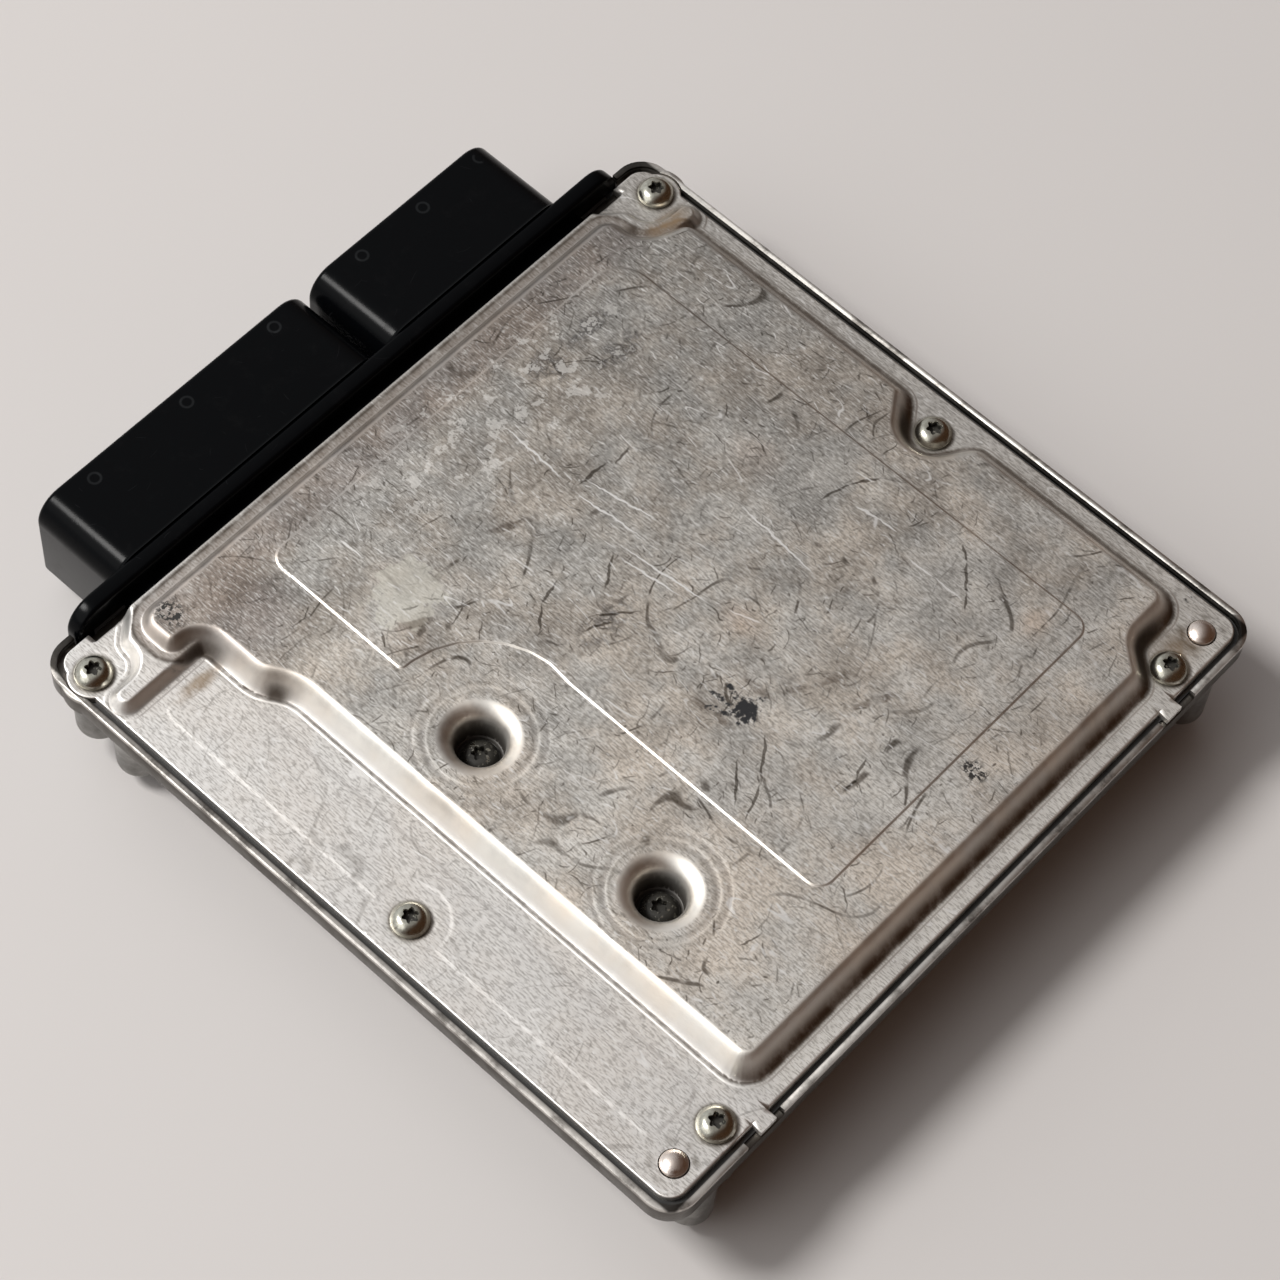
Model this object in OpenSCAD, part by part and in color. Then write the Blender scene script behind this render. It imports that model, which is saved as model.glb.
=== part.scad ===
// Engine control unit: die-cast base, pressed sheet cover and a moulded header with two plug sockets.
// Millimetres. It lies on its underside, +Z up, the sockets face -Y and the low shelf runs along +X.

/* [Cover] */
// Width of the cover sheet
cover_w = 173.2; // [168:0.2:190]
// Depth of the cover sheet from its plug edge to its rear edge
cover_d = 164.4; // [160:0.2:180]
// Thickness of the cover sheet
sheet_t = 1.5; // [1:0.1:2]
// Corner radius of the cover sheet
cover_r = 4; // [2:0.5:5]
// Height of the flange's upper face above the underside
flange_z = 27; // [26:0.5:32]
// Rise of the plateau above the flange
plateau_rise = 5; // [4:0.25:6]
// Rise of the middle band above the flange
band_rise = 2.5; // [2:0.25:3]
// Horizontal run of the plateau's pressed wall
wall_run = 3.4; // [2.6:0.2:3.8]
// Horizontal run of the band's pressed wall
band_run = 2.4; // [2:0.1:2.8]
// Width of the low shelf along the +X edge
shelf_w = 26.4; // [24:0.2:30]
// Flange left beside the plateau along the -X edge
side_flange = 4.2; // [3.6:0.2:6]
// Flange left behind the plateau
rear_flange = 4.5; // [3.6:0.2:6]
// Height of the bare label field above the plateau
label_rise = 0.3; // [0.2:0.1:0.6]
// Height of the stiffening field above the shelf
shelf_rise = 0.2; // [0.1:0.1:0.4]
// Radius round the front screws that the cover's ears reach
ear_r = 5.5; // [5:0.1:6]
// How far the corner pads reach past the cover's front edge
pad_reach = 2.2; // [1.6:0.2:3]
// Width of each rear tab of the cover
tab_w = 4.4; // [3:0.2:6]

/* [Screw wells] */
// Distance of the wells from the plateau's foot
well_in = 18.4; // [14:0.2:22]
// Place of the first well along Y
well_a_y = -10.1; // [-14:0.1:-6]
// Place of the second well along Y
well_b_y = 38.3; // [30:0.1:44]
// Radius of the well's throat
well_r = 5.2; // [4.8:0.1:6]
// Radius of the well's rounded lip
well_lip_r = 9; // [8:0.5:11]
// Depth of the well's floor below the flange
well_drop = 4; // [3:0.5:6]

/* [Screws] */
// Thread diameter of the cover and well screws
screw_d = 4; // [3:0.5:4.5]
// Head diameter of the cover and well screws
head_d = 8; // [7:0.2:8.4]
// Head height of the cover and well screws
head_h = 2.6; // [2:0.1:3]
// Length of the screws under the head
screw_l = 14; // [10:1:16]
// Front screws, in from the cover's side edge
front_screw_in = 3.6; // [3.4:0.1:4.6]
// Front screws, back from the cover's front edge
front_screw_back = 5.2; // [4.8:0.1:7]
// Middle screws, in from the cover's side edge
mid_screw_in = 8.4; // [7.6:0.1:9]
// Middle screws, place along Y
mid_screw_y = 6.2; // [0:0.2:14]
// Rear screws, in from the cover's side edge
rear_screw_in = 17.9; // [17:0.1:20]
// Rear screws, forward of the cover's rear edge
rear_screw_fwd = 4.9; // [4.6:0.1:5.4]
// Locating pegs, in from the cover's side edge
peg_in = 6.6; // [6:0.1:7.4]
// Locating pegs, forward of the cover's rear edge
peg_fwd = 5.4; // [5:0.1:6]
// Diameter of the locating pegs
peg_d = 5.6; // [4.6:0.2:6]

/* [Base] */
// Gap between the cover's edge and the rim's lip
rim_gap = 1.3; // [1:0.1:1.8]
// Thickness of the rim's lip
lip_t = 1.3; // [1:0.1:2]
// Thickness of the overhanging ledge under the cover
ledge_t = 3.2; // [2.6:0.2:4.4]
// Set-back of the tub's wall from the cover's side edge
tub_in = 7; // [6:0.2:8]
// Wall thickness of the tub
wall_t = 2.6; // [2:0.1:3.2]
// Thickness of the tub's floor
floor_t = 2; // [1.6:0.1:3]
// Height of the resting pad on the underside
pad_h = 1; // [0.6:0.1:1.6]
// Radius of the bosses and corner lumps
boss_r = 5; // [4.6:0.1:5.4]
// Height of the lumps' rounded ends above the surface below
lump_z = 3; // [2:0.5:6]

/* [Header] */
// Width of the large socket's shroud
large_w = 76; // [72:0.5:80]
// Width of the small socket's shroud
small_w = 54; // [50:0.5:58]
// Valley between the two shrouds
valley_w = 2; // [1.5:0.1:3]
// Height of both shrouds
shroud_h = 26; // [24:0.5:26]
// Depth of the shrouds in front of the header's flange
shroud_l = 23.3; // [22:0.1:30]
// Wall thickness of the shrouds
shroud_t = 2.2; // [1.8:0.1:2.6]
// Radius along the shrouds' upper edges
shroud_r = 6.5; // [5:0.5:8]
// Thickness of the header's flange
header_t = 4; // [3.6:0.2:6]
// Width of the header's flange
header_w = 159; // [156:0.5:160]
// Thickness of the socket's floor behind the pins
socket_floor = 2.5; // [2:0.1:4]

/* [Pins and board] */
// Pitch of the signal pins
pin_pitch = 2.5; // [2.2:0.1:2.6]
// Height between pin rows
row_pitch = 4.4; // [3.6:0.1:4.6]
// Thickness of a signal pin
pin_t = 0.6; // [0.5:0.05:0.8]
// Width of a power blade
blade_w = 1.5; // [1.2:0.1:2.2]
// Free length of the pins in the sockets
pin_l = 9; // [7:0.5:11]
// Thickness of the circuit board
board_t = 1.6; // [1.2:0.1:2]
// Height of the board's underside above the floor
board_up = 3.5; // [3:0.1:4.5]

/* [Hidden] */
$fn = 48;

// Clearances: pieces that slide past each other, screws in their holes, and the seal beads
slip = 0.3;
thread_slip = 0.05;
seal_t = 0.6;

// Cover edges, and the wall's foot on the shelf side
edge_x = cover_w / 2;
front_y = -cover_d / 2;
rear_y = cover_d / 2;
foot_x = edge_x - shelf_w;
left_x = -edge_x + side_flange;
plateau_z = flange_z + plateau_rise;
under_z = flange_z - sheet_t;
seat_z = under_z - seal_t;

// Fastener places on the +X side; the -X ones mirror them
front_screw = [edge_x - front_screw_in, front_y + front_screw_back];
mid_screw = [edge_x - mid_screw_in, mid_screw_y];
rear_screw = [edge_x - rear_screw_in, rear_y - rear_screw_fwd];
peg = [edge_x - peg_in, rear_y - peg_fwd];
cover_screw_places = [for (s = [-1, 1], p = [front_screw, mid_screw, rear_screw]) [s * p.x, p.y]];
front_screw_places = [for (s = [-1, 1]) [s * front_screw.x, front_screw.y]];
tab_x = rear_screw.x - 7;
peg_places = [for (s = [-1, 1]) [s * peg.x, peg.y]];
well_places = [for (y = [well_a_y, well_b_y]) [foot_x - well_in, y]];
well_floor_z = flange_z - well_drop;

// Base: rim, tub and the lumps beside the front screws and behind the rear ones
lip_in_x = edge_x + rim_gap;
rim_x = lip_in_x + lip_t;
rim_rear_y = rear_y + rim_gap + lip_t;
base_front_y = front_y - pad_reach;
rim_front_y = base_front_y - rim_gap - lip_t;
rim_r = cover_r + rim_gap + lip_t;
tub_x = edge_x - tub_in;
tub_rear_y = rear_y - rear_flange;
tub_r = 8;
floor_z = pad_h + floor_t;
front_lump = [front_screw.x - 1, front_screw.y + 10.4];
rear_lump = [rear_screw.x + 7.6, rear_y - 3.2];
lump_places = [for (s = [-1, 1], p = [front_lump, rear_lump]) [s * p.x, p.y]];
lump_round = 2.5;
foot_in = 12;
well_boss_r = screw_d / 2 + 1.6;
peg_up = 0.4;
peg_dome = 1;

// Header: faces along Y, and the shrouds' centres along X
header_back_y = base_front_y - seal_t;
header_front_y = header_back_y - header_t;
mouth_y = header_front_y - shroud_l;
neck_back_y = base_front_y + wall_t + 3.8;
shroud_top_z = flange_z + plateau_rise - 1;
shroud_mid_z = shroud_top_z - shroud_h / 2;
sockets_w = large_w + valley_w + small_w;
large_x = sockets_w / 2 - large_w / 2;
small_x = -sockets_w / 2 + small_w / 2;
neck_w = sockets_w + 2;
neck_low_z = floor_z + 4;
neck_top_z = under_z + band_rise - slip;
flange_low_z = shroud_mid_z - shroud_h / 2 - 1;
flange_top_z = plateau_z;

// Board, inside the tub and behind the header's neck
board_z = floor_z + board_up;
board_top_z = board_z + board_t;
board_x = tub_x - wall_t - 1.4;
board_front_y = neck_back_y + 0.5;
board_rear_y = tub_rear_y - wall_t - 1.4;
board_mid_y = (board_rear_y + board_front_y) / 2;
board_half_y = (board_rear_y - board_front_y) / 2;
board_screw_d = 3;
board_screw_in = 6;
board_screw_fwd = 20;
board_screw_back = 12;
board_screw_ys = [board_front_y + board_screw_fwd, board_rear_y - board_screw_back];
board_screw_places = [for (s = [-1, 1], y = board_screw_ys) [s * (board_x - board_screw_in), y]];
pad_t = 0.8;
pad_in = 1;

// Board parts: places as shares of the board's half width and half depth from its middle
function spot(x_share, y_share) = [x_share * board_x, board_mid_y + y_share * board_half_y];
driver_step = 0.212;
transistor_step = 0.185;
ceramic_step = 0.159;
micro_at = spot(-0.265, -0.053);
flash_at = spot(0.106, -0.106);
regulator_at = spot(0.741, -0.317);
injector_places = [for (i = [0:2]) spot(-0.82 + i * driver_step, 0.45)];
output_places = [for (i = [0:1]) spot(-0.185 + i * driver_step, 0.45)];
interface_at = spot(-0.714, -0.053);
transceiver_places = [for (i = [0:1]) spot(0.317, -0.344 + i * 0.132)];
transistor_places = [for (i = [0:5]) spot(-0.794 + i * transistor_step, 0.714)];
can_places = [for (y_share = [0.185, 0.688]) spot(0.82, y_share)];
ceramic_places = [for (i = [0:9]) spot(-0.82 + i * ceramic_step, -0.709)];
inductor_at = spot(0.265, 0.159);
diode_at = spot(0.82, -0.026);
crystal_at = spot(-0.265, -0.344);
sensor_at = spot(0.529, -0.397);
pedestal_places = [spot(-0.608, 0.45), spot(-0.106, 0.45), spot(-0.608, -0.079)];
pedestal_w = 26;
pedestal_d = 16;

// Packages: width, depth and height of the body, then the pitch of its leads
micro_size = [24, 24, 2.4, 2];
flash_size = [13, 9, 2, 1.5];
regulator_size = [11, 15, 2.6, 1.5];
driver_size = [9, 13, 2.6, 1.5];
interface_size = [14, 14, 2, 1.4];
transceiver_size = [5, 5, 1.6, 1.2];
diode_size = [7, 6, 2.4, 2.4];
sensor_size = [8, 8, 5, 1.6];
lead_l = 1.2;
lead_t = 0.2;
lead_share = 0.45;

// Other board parts
transistor_w = 6.6;
transistor_d = 6;
transistor_h = 2.3;
transistor_tab = [5.4, 2, 0.6];
transistor_leg = [0.8, 2.5, 0.5];
can_r = 6.2;
can_h = 12;
ceramic_size = [3.2, 1.6, 1.6];
drum_foot = [12, 1.2];
drum_r = 4;
drum_top_r = 5.8;
drum_h = 6.5;
drum_top_t = 1.5;
crystal_size = [11, 4.6, 2];
crystal_r = 2.2;
vent_r = 0.8;
vent_deep = 2;

// Pin fields: rows from the lowest up, each row's tails one step further back
rows = 4;
large_columns = 22;
small_columns = 13;
power_columns = 2;
power_rows = 3;
pin_tip_y = header_front_y - pin_l;
tail_step = 2.6;
tail_out = 1.2;
field_gap = 5;
large_field_x = large_x - field_gap;
small_field_x = small_x - field_gap;
large_power_x = large_field_x + large_columns * pin_pitch / 2 + field_gap - 1;
small_power_x = small_field_x + small_columns * pin_pitch / 2 + field_gap - 1;
power_pitch = 3.6;
power_row_pitch = 6.2;
first_tail = 4;

function row_z(i, n, pitch) = shroud_mid_z + (i - (n - 1) / 2) * pitch;
function tail_y(i) = neck_back_y + first_tail + i * tail_step;
function field_x(mid, i, n, pitch) = mid + (i - (n - 1) / 2) * pitch;

large_signal = [for (i = [0:rows - 1], j = [0:large_columns - 1])
                [field_x(large_field_x, j, large_columns, pin_pitch), row_z(i, rows, row_pitch), tail_y(i)]];
small_signal = [for (i = [0:rows - 1], j = [0:small_columns - 1])
                [field_x(small_field_x, j, small_columns, pin_pitch), row_z(i, rows, row_pitch), tail_y(i)]];
large_power = [for (i = [0:power_rows - 1], j = [0:power_columns - 1])
               [field_x(large_power_x, j, power_columns, power_pitch),
                row_z(i, power_rows, power_row_pitch), tail_y(i)]];
small_power = [for (i = [0:power_rows - 1], j = [0:power_columns - 1])
               [field_x(small_power_x, j, power_columns, power_pitch),
                row_z(i, power_rows, power_row_pitch), tail_y(i)]];

// Outlines: corner points [x, y, radius], counter-clockwise, at the foot of the pressed wall
plateau_front_y = front_y + 1.2;
nose_x = foot_x + 12.3;
step_x = foot_x + 4.1;
nose_y = front_screw.y + 11.5;
pocket_y = rear_screw.y - 6.7;
band_x = front_screw.x - 13.6;
plateau_corners = [
    [-front_screw.x + 11.5, plateau_front_y, 6], [nose_x, plateau_front_y, 7], [nose_x, nose_y, 5],
    [step_x, nose_y, 2.2], [step_x, nose_y + 14.5, 4], [foot_x, nose_y + 21, 2.2],
    [foot_x, rear_y - rear_flange, 6.5], [-rear_screw.x + 6.5, rear_y - rear_flange, 5],
    [-rear_screw.x + 0.4, pocket_y, 4], [left_x, pocket_y, 6], [left_x, mid_screw.y + 9, 5],
    [-mid_screw.x + 5.3, mid_screw.y + 2.6, 4.6], [-mid_screw.x + 5.3, mid_screw.y - 2.6, 4.6],
    [left_x, mid_screw.y - 9, 5], [left_x, front_screw.y + 10.4, 5],
    [-front_screw.x + 11.5, front_screw.y + 6.2, 5]];
band_right = [
    [band_x, front_y - 8, 1], [band_x, front_screw.y - 6, 5],
    [front_screw.x - 7.7, front_screw.y - 1, 4], [front_screw.x - 7, front_screw.y + 5.3, 4.2],
    [edge_x - 0.3, front_screw.y + 5.5, 3.6], [edge_x - 0.3, front_screw.y + 12.7, 3.6]];
band_corners = concat(band_right, [for (i = [len(band_right) - 1:-1:0])
                                   [-band_right[i].x, band_right[i].y, band_right[i].z]]);

// Pressed wall's section: share of the run against share of the rise
wall_section = [[0, 0], [0.24, 0.12], [0.47, 0.46], [0.76, 0.88], [1, 1]];
corner_steps = 4;
least_r = 0.9;

function unit(v) = v / norm(v);
function left_of(v) = [-v.y, v.x];
function turned(v, a) = [v.x * cos(a) - v.y * sin(a), v.x * sin(a) + v.y * cos(a)];
function flat(p) = [p.x, p.y];

// Points of an outline moved inwards by d, each corner an arc of corner_steps chords
function outline(corners, d) = let (n = len(corners)) [
    for (i = [0:n - 1]) let (
        here = flat(corners[i]),
        come = unit(here - flat(corners[(i + n - 1) % n])),
        go = unit(flat(corners[(i + 1) % n]) - here),
        side = sign(cross(come, go)),
        angle = acos(come * go),
        inner = here + d * (left_of(come) + left_of(go)) / (1 + come * go),
        r = max(least_r, corners[i].z - side * d),
        start = inner - come * r * tan(angle / 2),
        centre = start + side * r * left_of(come))
    for (k = [0:corner_steps]) centre + turned(start - centre, side * angle * k / corner_steps)];

function lowest(p) = let (y = min([for (q = p) q.y])) [for (i = [0:len(p) - 1]) if (p[i].y == y) i][0];
function highest(p) = let (y = max([for (q = p) q.y])) [for (i = [0:len(p) - 1]) if (p[i].y == y) i][0];

// Triangles that close a ring, stepping up its right and left halves in turn from its lowest point
function stepped(p, start, right_n, left_n, i = 0, j = 0) = let (
        n = len(p),
        right = (start + i) % n,
        left = (start + n - j) % n,
        next_right = (right + 1) % n,
        next_left = (left + n - 1) % n,
        on_right = j == left_n || (i < right_n && p[next_right].y <= p[next_left].y),
        tip = on_right ? next_right : next_left,
        flat_one = right == left || tip == right || tip == left)
    i == right_n && j == left_n ? []
    : concat(flat_one ? [] : [on_right ? [right, tip, left] : [left, right, tip]],
             stepped(p, start, right_n, left_n, on_right ? i + 1 : i, on_right ? j : j + 1));
function cap(p) = let (start = lowest(p), right_n = (highest(p) - start + len(p)) % len(p))
    stepped(p, start, right_n, len(p) - right_n);

// Solid through rings of equal point count, each ring [points, z]
module loft(rings) {
    n = len(rings[0][0]);
    points = [for (ring = rings, p = ring[0]) [p.x, p.y, ring[1]]];
    sides = [for (k = [0:len(rings) - 2], i = [0:n - 1]) each [
        [k * n + i, (k + 1) * n + i, (k + 1) * n + (i + 1) % n],
        [k * n + i, (k + 1) * n + (i + 1) % n, k * n + (i + 1) % n]]];
    last = len(rings) - 1;
    lower = cap(rings[0][0]);
    upper = [for (t = cap(rings[last][0])) [for (i = [2:-1:0]) last * n + t[i]]];
    polyhedron(points, concat(lower, sides, upper));
}

// Pressed form over an outline: a skirt from low_z, then the wall's section up to its rise
module pressed(corners, base_z, rise, run, inset, low_z) {
    loft(concat([[outline(corners, inset), low_z]],
                [for (s = wall_section) [outline(corners, inset + s[0] * run), base_z + s[1] * rise]]));
}

// Rectangle from corner to corner with one radius
module rounded(x0, y0, x1, y1, r) {
    translate([x0 + r, y0]) square([x1 - x0 - 2 * r, y1 - y0]);
    translate([x0, y0 + r]) square([x1 - x0, y1 - y0 - 2 * r]);
    for (x = [x0 + r, x1 - r], y = [y0 + r, y1 - r]) translate([x, y]) circle(r);
}

module at(places) {
    for (p = places) translate([p.x, p.y, 0]) children();
}

module box(x0, y0, z0, x1, y1, z1) {
    translate([x0, y0, z0]) cube([x1 - x0, y1 - y0, z1 - z0]);
}

module upright(r, z0, z1) {
    translate([0, 0, z0]) cylinder(r = r, h = z1 - z0);
}

// Flat outline of the cover: corner pads, ears round the front screws and two rear tabs
module cover_outline() {
    difference() {
        union() {
            rounded(-edge_x, base_front_y, edge_x, rear_y, cover_r);
            for (p = front_screw_places) translate(p) circle(ear_r);
            for (s = [-1, 1]) translate([s * tab_x - tab_w / 2, rear_y - 1])
                square([tab_w, 1 + rim_gap + lip_t - slip]);
        }
        pad_x = front_screw.x - 5.5;
        translate([-pad_x, base_front_y - 1]) square([2 * pad_x, pad_reach + 1]);
    }
}

// Void of a screw well: rounded lip, throat and flat floor. Grown by the sheet's thickness it is the
// well's own body, which then ends halfway up the sheet
module well_void(grow) {
    lip = well_lip_r - well_r;
    top_z = plateau_z + (grow > 0 ? -grow / 2 : 1);
    rotate_extrude() polygon([[0, well_floor_z - grow], [well_r + grow, well_floor_z - grow],
        [well_r + grow, plateau_z - lip - grow], [well_r + grow + lip * 0.12, plateau_z - lip * 0.5 - grow],
        [well_r + grow + lip * 0.35, plateau_z - lip * 0.2 - grow],
        [well_lip_r + grow, plateau_z - grow], [well_lip_r + grow, top_z], [0, top_z]]);
}

// Bare field on the plateau: an angled panel that steps round the first well
module label_field() {
    well = well_places[0];
    clear_r = 21.5;
    far_x = left_x + 19.5;
    near_y = plateau_front_y + 11.4;
    end_y = rear_y - 21.1;
    difference() {
        union() {
            rounded(far_x, near_y, well.x + 0.2, well.y - clear_r, 4);
            rounded(far_x, near_y, well.x - clear_r + 0.7, end_y, 4);
            translate([well.x - clear_r - 4, well.y - clear_r - 4]) square(clear_r + 4);
        }
        translate(well) circle(clear_r);
    }
}

module shelf_field() {
    difference() {
        rounded(foot_x + 5, nose_y + 4, mid_screw.x + 1.8, rear_screw.y - 6.4, 3);
        translate(mid_screw) circle(7.5);
    }
}

module top_cover() color("silver") difference() {
    union() {
        translate([0, 0, under_z]) linear_extrude(sheet_t) cover_outline();
        pressed(plateau_corners, flange_z, plateau_rise, wall_run, 0, flange_z - sheet_t / 2);
        difference() {
            pressed(band_corners, flange_z, band_rise, band_run, 0, flange_z - sheet_t / 2);
            box(-edge_x, front_y - 20, 0, edge_x, front_y, 2 * plateau_z);
        }
        translate([0, 0, plateau_z - sheet_t / 2]) linear_extrude(sheet_t / 2 + label_rise) label_field();
        translate([0, 0, flange_z - sheet_t / 2]) linear_extrude(sheet_t / 2 + shelf_rise) shelf_field();
        at(well_places) well_void(sheet_t);
    }
    difference() {
        pressed(plateau_corners, under_z, plateau_rise, wall_run, sheet_t, under_z - 1);
        at(well_places) well_void(sheet_t);
    }
    box(-band_x + sheet_t, front_y - 1, under_z - 1, band_x - sheet_t, nose_y - 4, under_z + band_rise);
    at(well_places) well_void(0);
    at(well_places) upright(screw_d / 2 + slip, 0, plateau_z);
    at(cover_screw_places) upright(screw_d / 2 + slip, 0, plateau_z);
    at(peg_places) upright(peg_d / 2 + slip, 0, plateau_z);
}

// Bead in the channel between the cover's edge and the rim, and under the cover's edge
module cover_seal() color("black") difference() {
    tuck = 1.4;
    translate([0, 0, seat_z]) linear_extrude(under_z - seat_z) difference() {
        rounded(-lip_in_x + slip, rim_front_y + lip_t + slip, lip_in_x - slip, rim_rear_y - lip_t - slip,
                rim_r - lip_t - slip);
        rounded(-edge_x + tuck, front_y + tuck, edge_x - tuck, rear_y - tuck, cover_r - tuck);
    }
    at(cover_screw_places) upright(ear_r + slip, 0, plateau_z);
    box(-rim_x, rim_front_y - 1, 0, rim_x, front_screw.y, plateau_z);
}

// Boss with a rounded lower end, from low_z up to high_z
module lump(low_z, high_z) {
    rotate_extrude() union() {
        translate([0, low_z]) square([boss_r - lump_round, high_z - low_z]);
        translate([0, low_z + lump_round]) square([boss_r, high_z - low_z - lump_round]);
        intersection() {
            translate([boss_r - lump_round, low_z + lump_round]) circle(lump_round);
            square([boss_r, high_z]);
        }
    }
}

// Peg with a domed end that stands through the cover
module locating_peg() {
    dome_r = (peg_d * peg_d / 4 + peg_dome * peg_dome) / (2 * peg_dome);
    upright(peg_d / 2, seat_z - 1, flange_z + peg_up);
    translate([0, 0, flange_z + peg_up]) rotate_extrude() intersection() {
        translate([0, peg_dome - dome_r]) circle(dome_r);
        square([peg_d / 2, peg_dome]);
    }
}

// Tub of the base: drafted walls and a rounded lower edge, drawn in by inset
module tub(inset, low_z, high_z, draft) {
    corners = [[-tub_x, base_front_y, tub_r], [tub_x, base_front_y, tub_r], [tub_x, tub_rear_y, tub_r],
               [-tub_x, tub_rear_y, tub_r]];
    section = [[1.6 + draft, 0], [0.5 + draft, 0.6], [draft, 2], [0, high_z - low_z]];
    loft([for (s = section) [outline(corners, inset + s[0]), low_z + s[1]]]);
}

module rim_ring(z0, z1, inset) {
    translate([0, 0, z0]) linear_extrude(z1 - z0)
        rounded(-rim_x + inset, rim_front_y + inset, rim_x - inset, rim_rear_y - inset, rim_r - inset);
}

module base_housing() color("darkgray") difference() {
    union() {
        difference() {
            union() {
                tub(0, pad_h * 0.5, seat_z, 1.6);
                rim_ring(seat_z - ledge_t, seat_z, 0);
                difference() {
                    rim_ring(seat_z - 1, flange_z, 0);
                    rim_ring(seat_z, flange_z + 1, lip_t);
                    for (s = [0, 1]) mirror([s, 0, 0]) translate([tab_x, 0, 0])
                        box(-tab_w / 2 - 2, rear_y, seat_z, tab_w / 2 + 4, rim_rear_y + 1, flange_z + 1);
                }
                difference() {
                    at(front_screw_places) upright(ear_r + slip + 1, seat_z - ledge_t, flange_z);
                    box(-lip_in_x, rim_front_y, 0, lip_in_x, 0, plateau_z);
                }
            }
            tub(wall_t, floor_z, 2 * plateau_z, 0.6);
            box(-header_w / 2 - 2 * slip, rim_front_y - 1, -1,
                header_w / 2 + 2 * slip, base_front_y, 2 * plateau_z);
            at(front_screw_places) upright(ear_r + slip, seat_z, 2 * plateau_z);
        }
        linear_extrude(floor_z)
            rounded(-tub_x + foot_in, front_y + foot_in, tub_x - foot_in, tub_rear_y - foot_in, tub_r);
        at(cover_screw_places) lump(lump_z + 4, under_z);
        at(lump_places) lump(lump_z, seat_z);
        at(peg_places) locating_peg();
        at(well_places) upright(boss_r, floor_z - 1, board_z);
        at(well_places) upright(well_boss_r, board_z - 1, well_floor_z - sheet_t);
        at(board_screw_places) upright(board_screw_d / 2 + 2, floor_z - 1, board_z);
        at(pedestal_places) pedestal();
    }
    box(-neck_w / 2 - slip, base_front_y - 1, neck_low_z - slip,
        neck_w / 2 + slip, neck_back_y + 1, 2 * plateau_z);
    at(cover_screw_places) upright(screw_d / 2 + thread_slip, under_z - screw_l, plateau_z);
    at(well_places) upright(screw_d / 2 + thread_slip, well_floor_z - screw_l - sheet_t, plateau_z);
    at(board_screw_places) upright(board_screw_d / 2 + thread_slip, floor_z, plateau_z);
}

// Cooling pedestal under the power parts; a thermal pad closes the gap to the board
module pedestal() {
    box(-pedestal_w / 2, -pedestal_d / 2, floor_z - 1, pedestal_w / 2, pedestal_d / 2, board_z - pad_t);
}

module thermal_pads() color("lightblue") at(pedestal_places)
    box(-pedestal_w / 2 + pad_in, -pedestal_d / 2 + pad_in, board_z - pad_t,
        pedestal_w / 2 - pad_in, pedestal_d / 2 - pad_in, board_z);

// Section of a shroud across X and Z: large upper radii, small lower ones, drawn in by inset
module shroud_section(w, inset) {
    low_r = 3;
    x = w / 2 - inset;
    top = shroud_h / 2 - inset;
    rt = shroud_r - inset;
    rb = low_r - inset;
    translate([-x + rt, 0]) square([2 * (x - rt), top]);
    translate([-x, 0]) square([2 * x, top - rt]);
    translate([-x, -top + rb]) square([2 * x, top - rb]);
    translate([-x + rb, -top]) square([2 * (x - rb), top]);
    for (s = [-1, 1]) translate([s * (x - rt), top - rt]) circle(rt);
    for (s = [-1, 1]) translate([s * (x - rb), -top + rb]) circle(rb);
}

// Extrudes a section drawn across X and Z from y0 to y1
module along_y(y0, y1) {
    translate([0, y1, 0]) rotate([90, 0, 0]) linear_extrude(y1 - y0) children();
}

module shroud(x, w, inset, y0, y1) {
    translate([x, 0, shroud_mid_z]) along_y(y0, y1) shroud_section(w, inset);
}

module pin_holes(places, w) {
    for (p = places)
        box(p.x - w / 2, pin_tip_y, p.y - pin_t / 2, p.x + w / 2, neck_back_y + 1, p.y + pin_t / 2);
}

module connector_header() color("#1a1b1d") difference() {
    union() {
        shroud(large_x, large_w, 0, mouth_y, header_front_y + 1);
        shroud(small_x, small_w, 0, mouth_y, header_front_y + 1);
        along_y(header_front_y, header_back_y)
            rounded(-header_w / 2, flange_low_z, header_w / 2, flange_top_z, shroud_r);
        box(-neck_w / 2, header_back_y - 1, neck_low_z, neck_w / 2, neck_back_y, neck_top_z);
    }
    shroud(large_x, large_w, shroud_t, mouth_y - 1, header_front_y + header_t - socket_floor);
    shroud(small_x, small_w, shroud_t, mouth_y - 1, header_front_y + header_t - socket_floor);
    pin_holes(large_signal, pin_t);
    pin_holes(small_signal, pin_t);
    pin_holes(large_power, blade_w);
    pin_holes(small_power, blade_w);
}

// Gasket bead between the header's flange and the front of the base and cover
module header_seal() color("black") along_y(header_back_y, base_front_y) difference() {
    side = 0.16 * (header_w - neck_w);
    low = 1;
    translate([-header_w / 2 + side, flange_low_z + low])
        square([header_w - 2 * side, under_z - flange_low_z - low]);
    translate([-neck_w / 2 - slip, neck_low_z - slip]) square([neck_w + 2 * slip, under_z]);
}

// Angled contact: level through the header, then down through the board
module contact(p, w) {
    box(p.x - w / 2, pin_tip_y, p.y - pin_t / 2, p.x + w / 2, p.z + pin_t / 2, p.y + pin_t / 2);
    box(p.x - w / 2, p.z - pin_t / 2, board_z - tail_out, p.x + w / 2, p.z + pin_t / 2, p.y + pin_t / 2);
}

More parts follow.
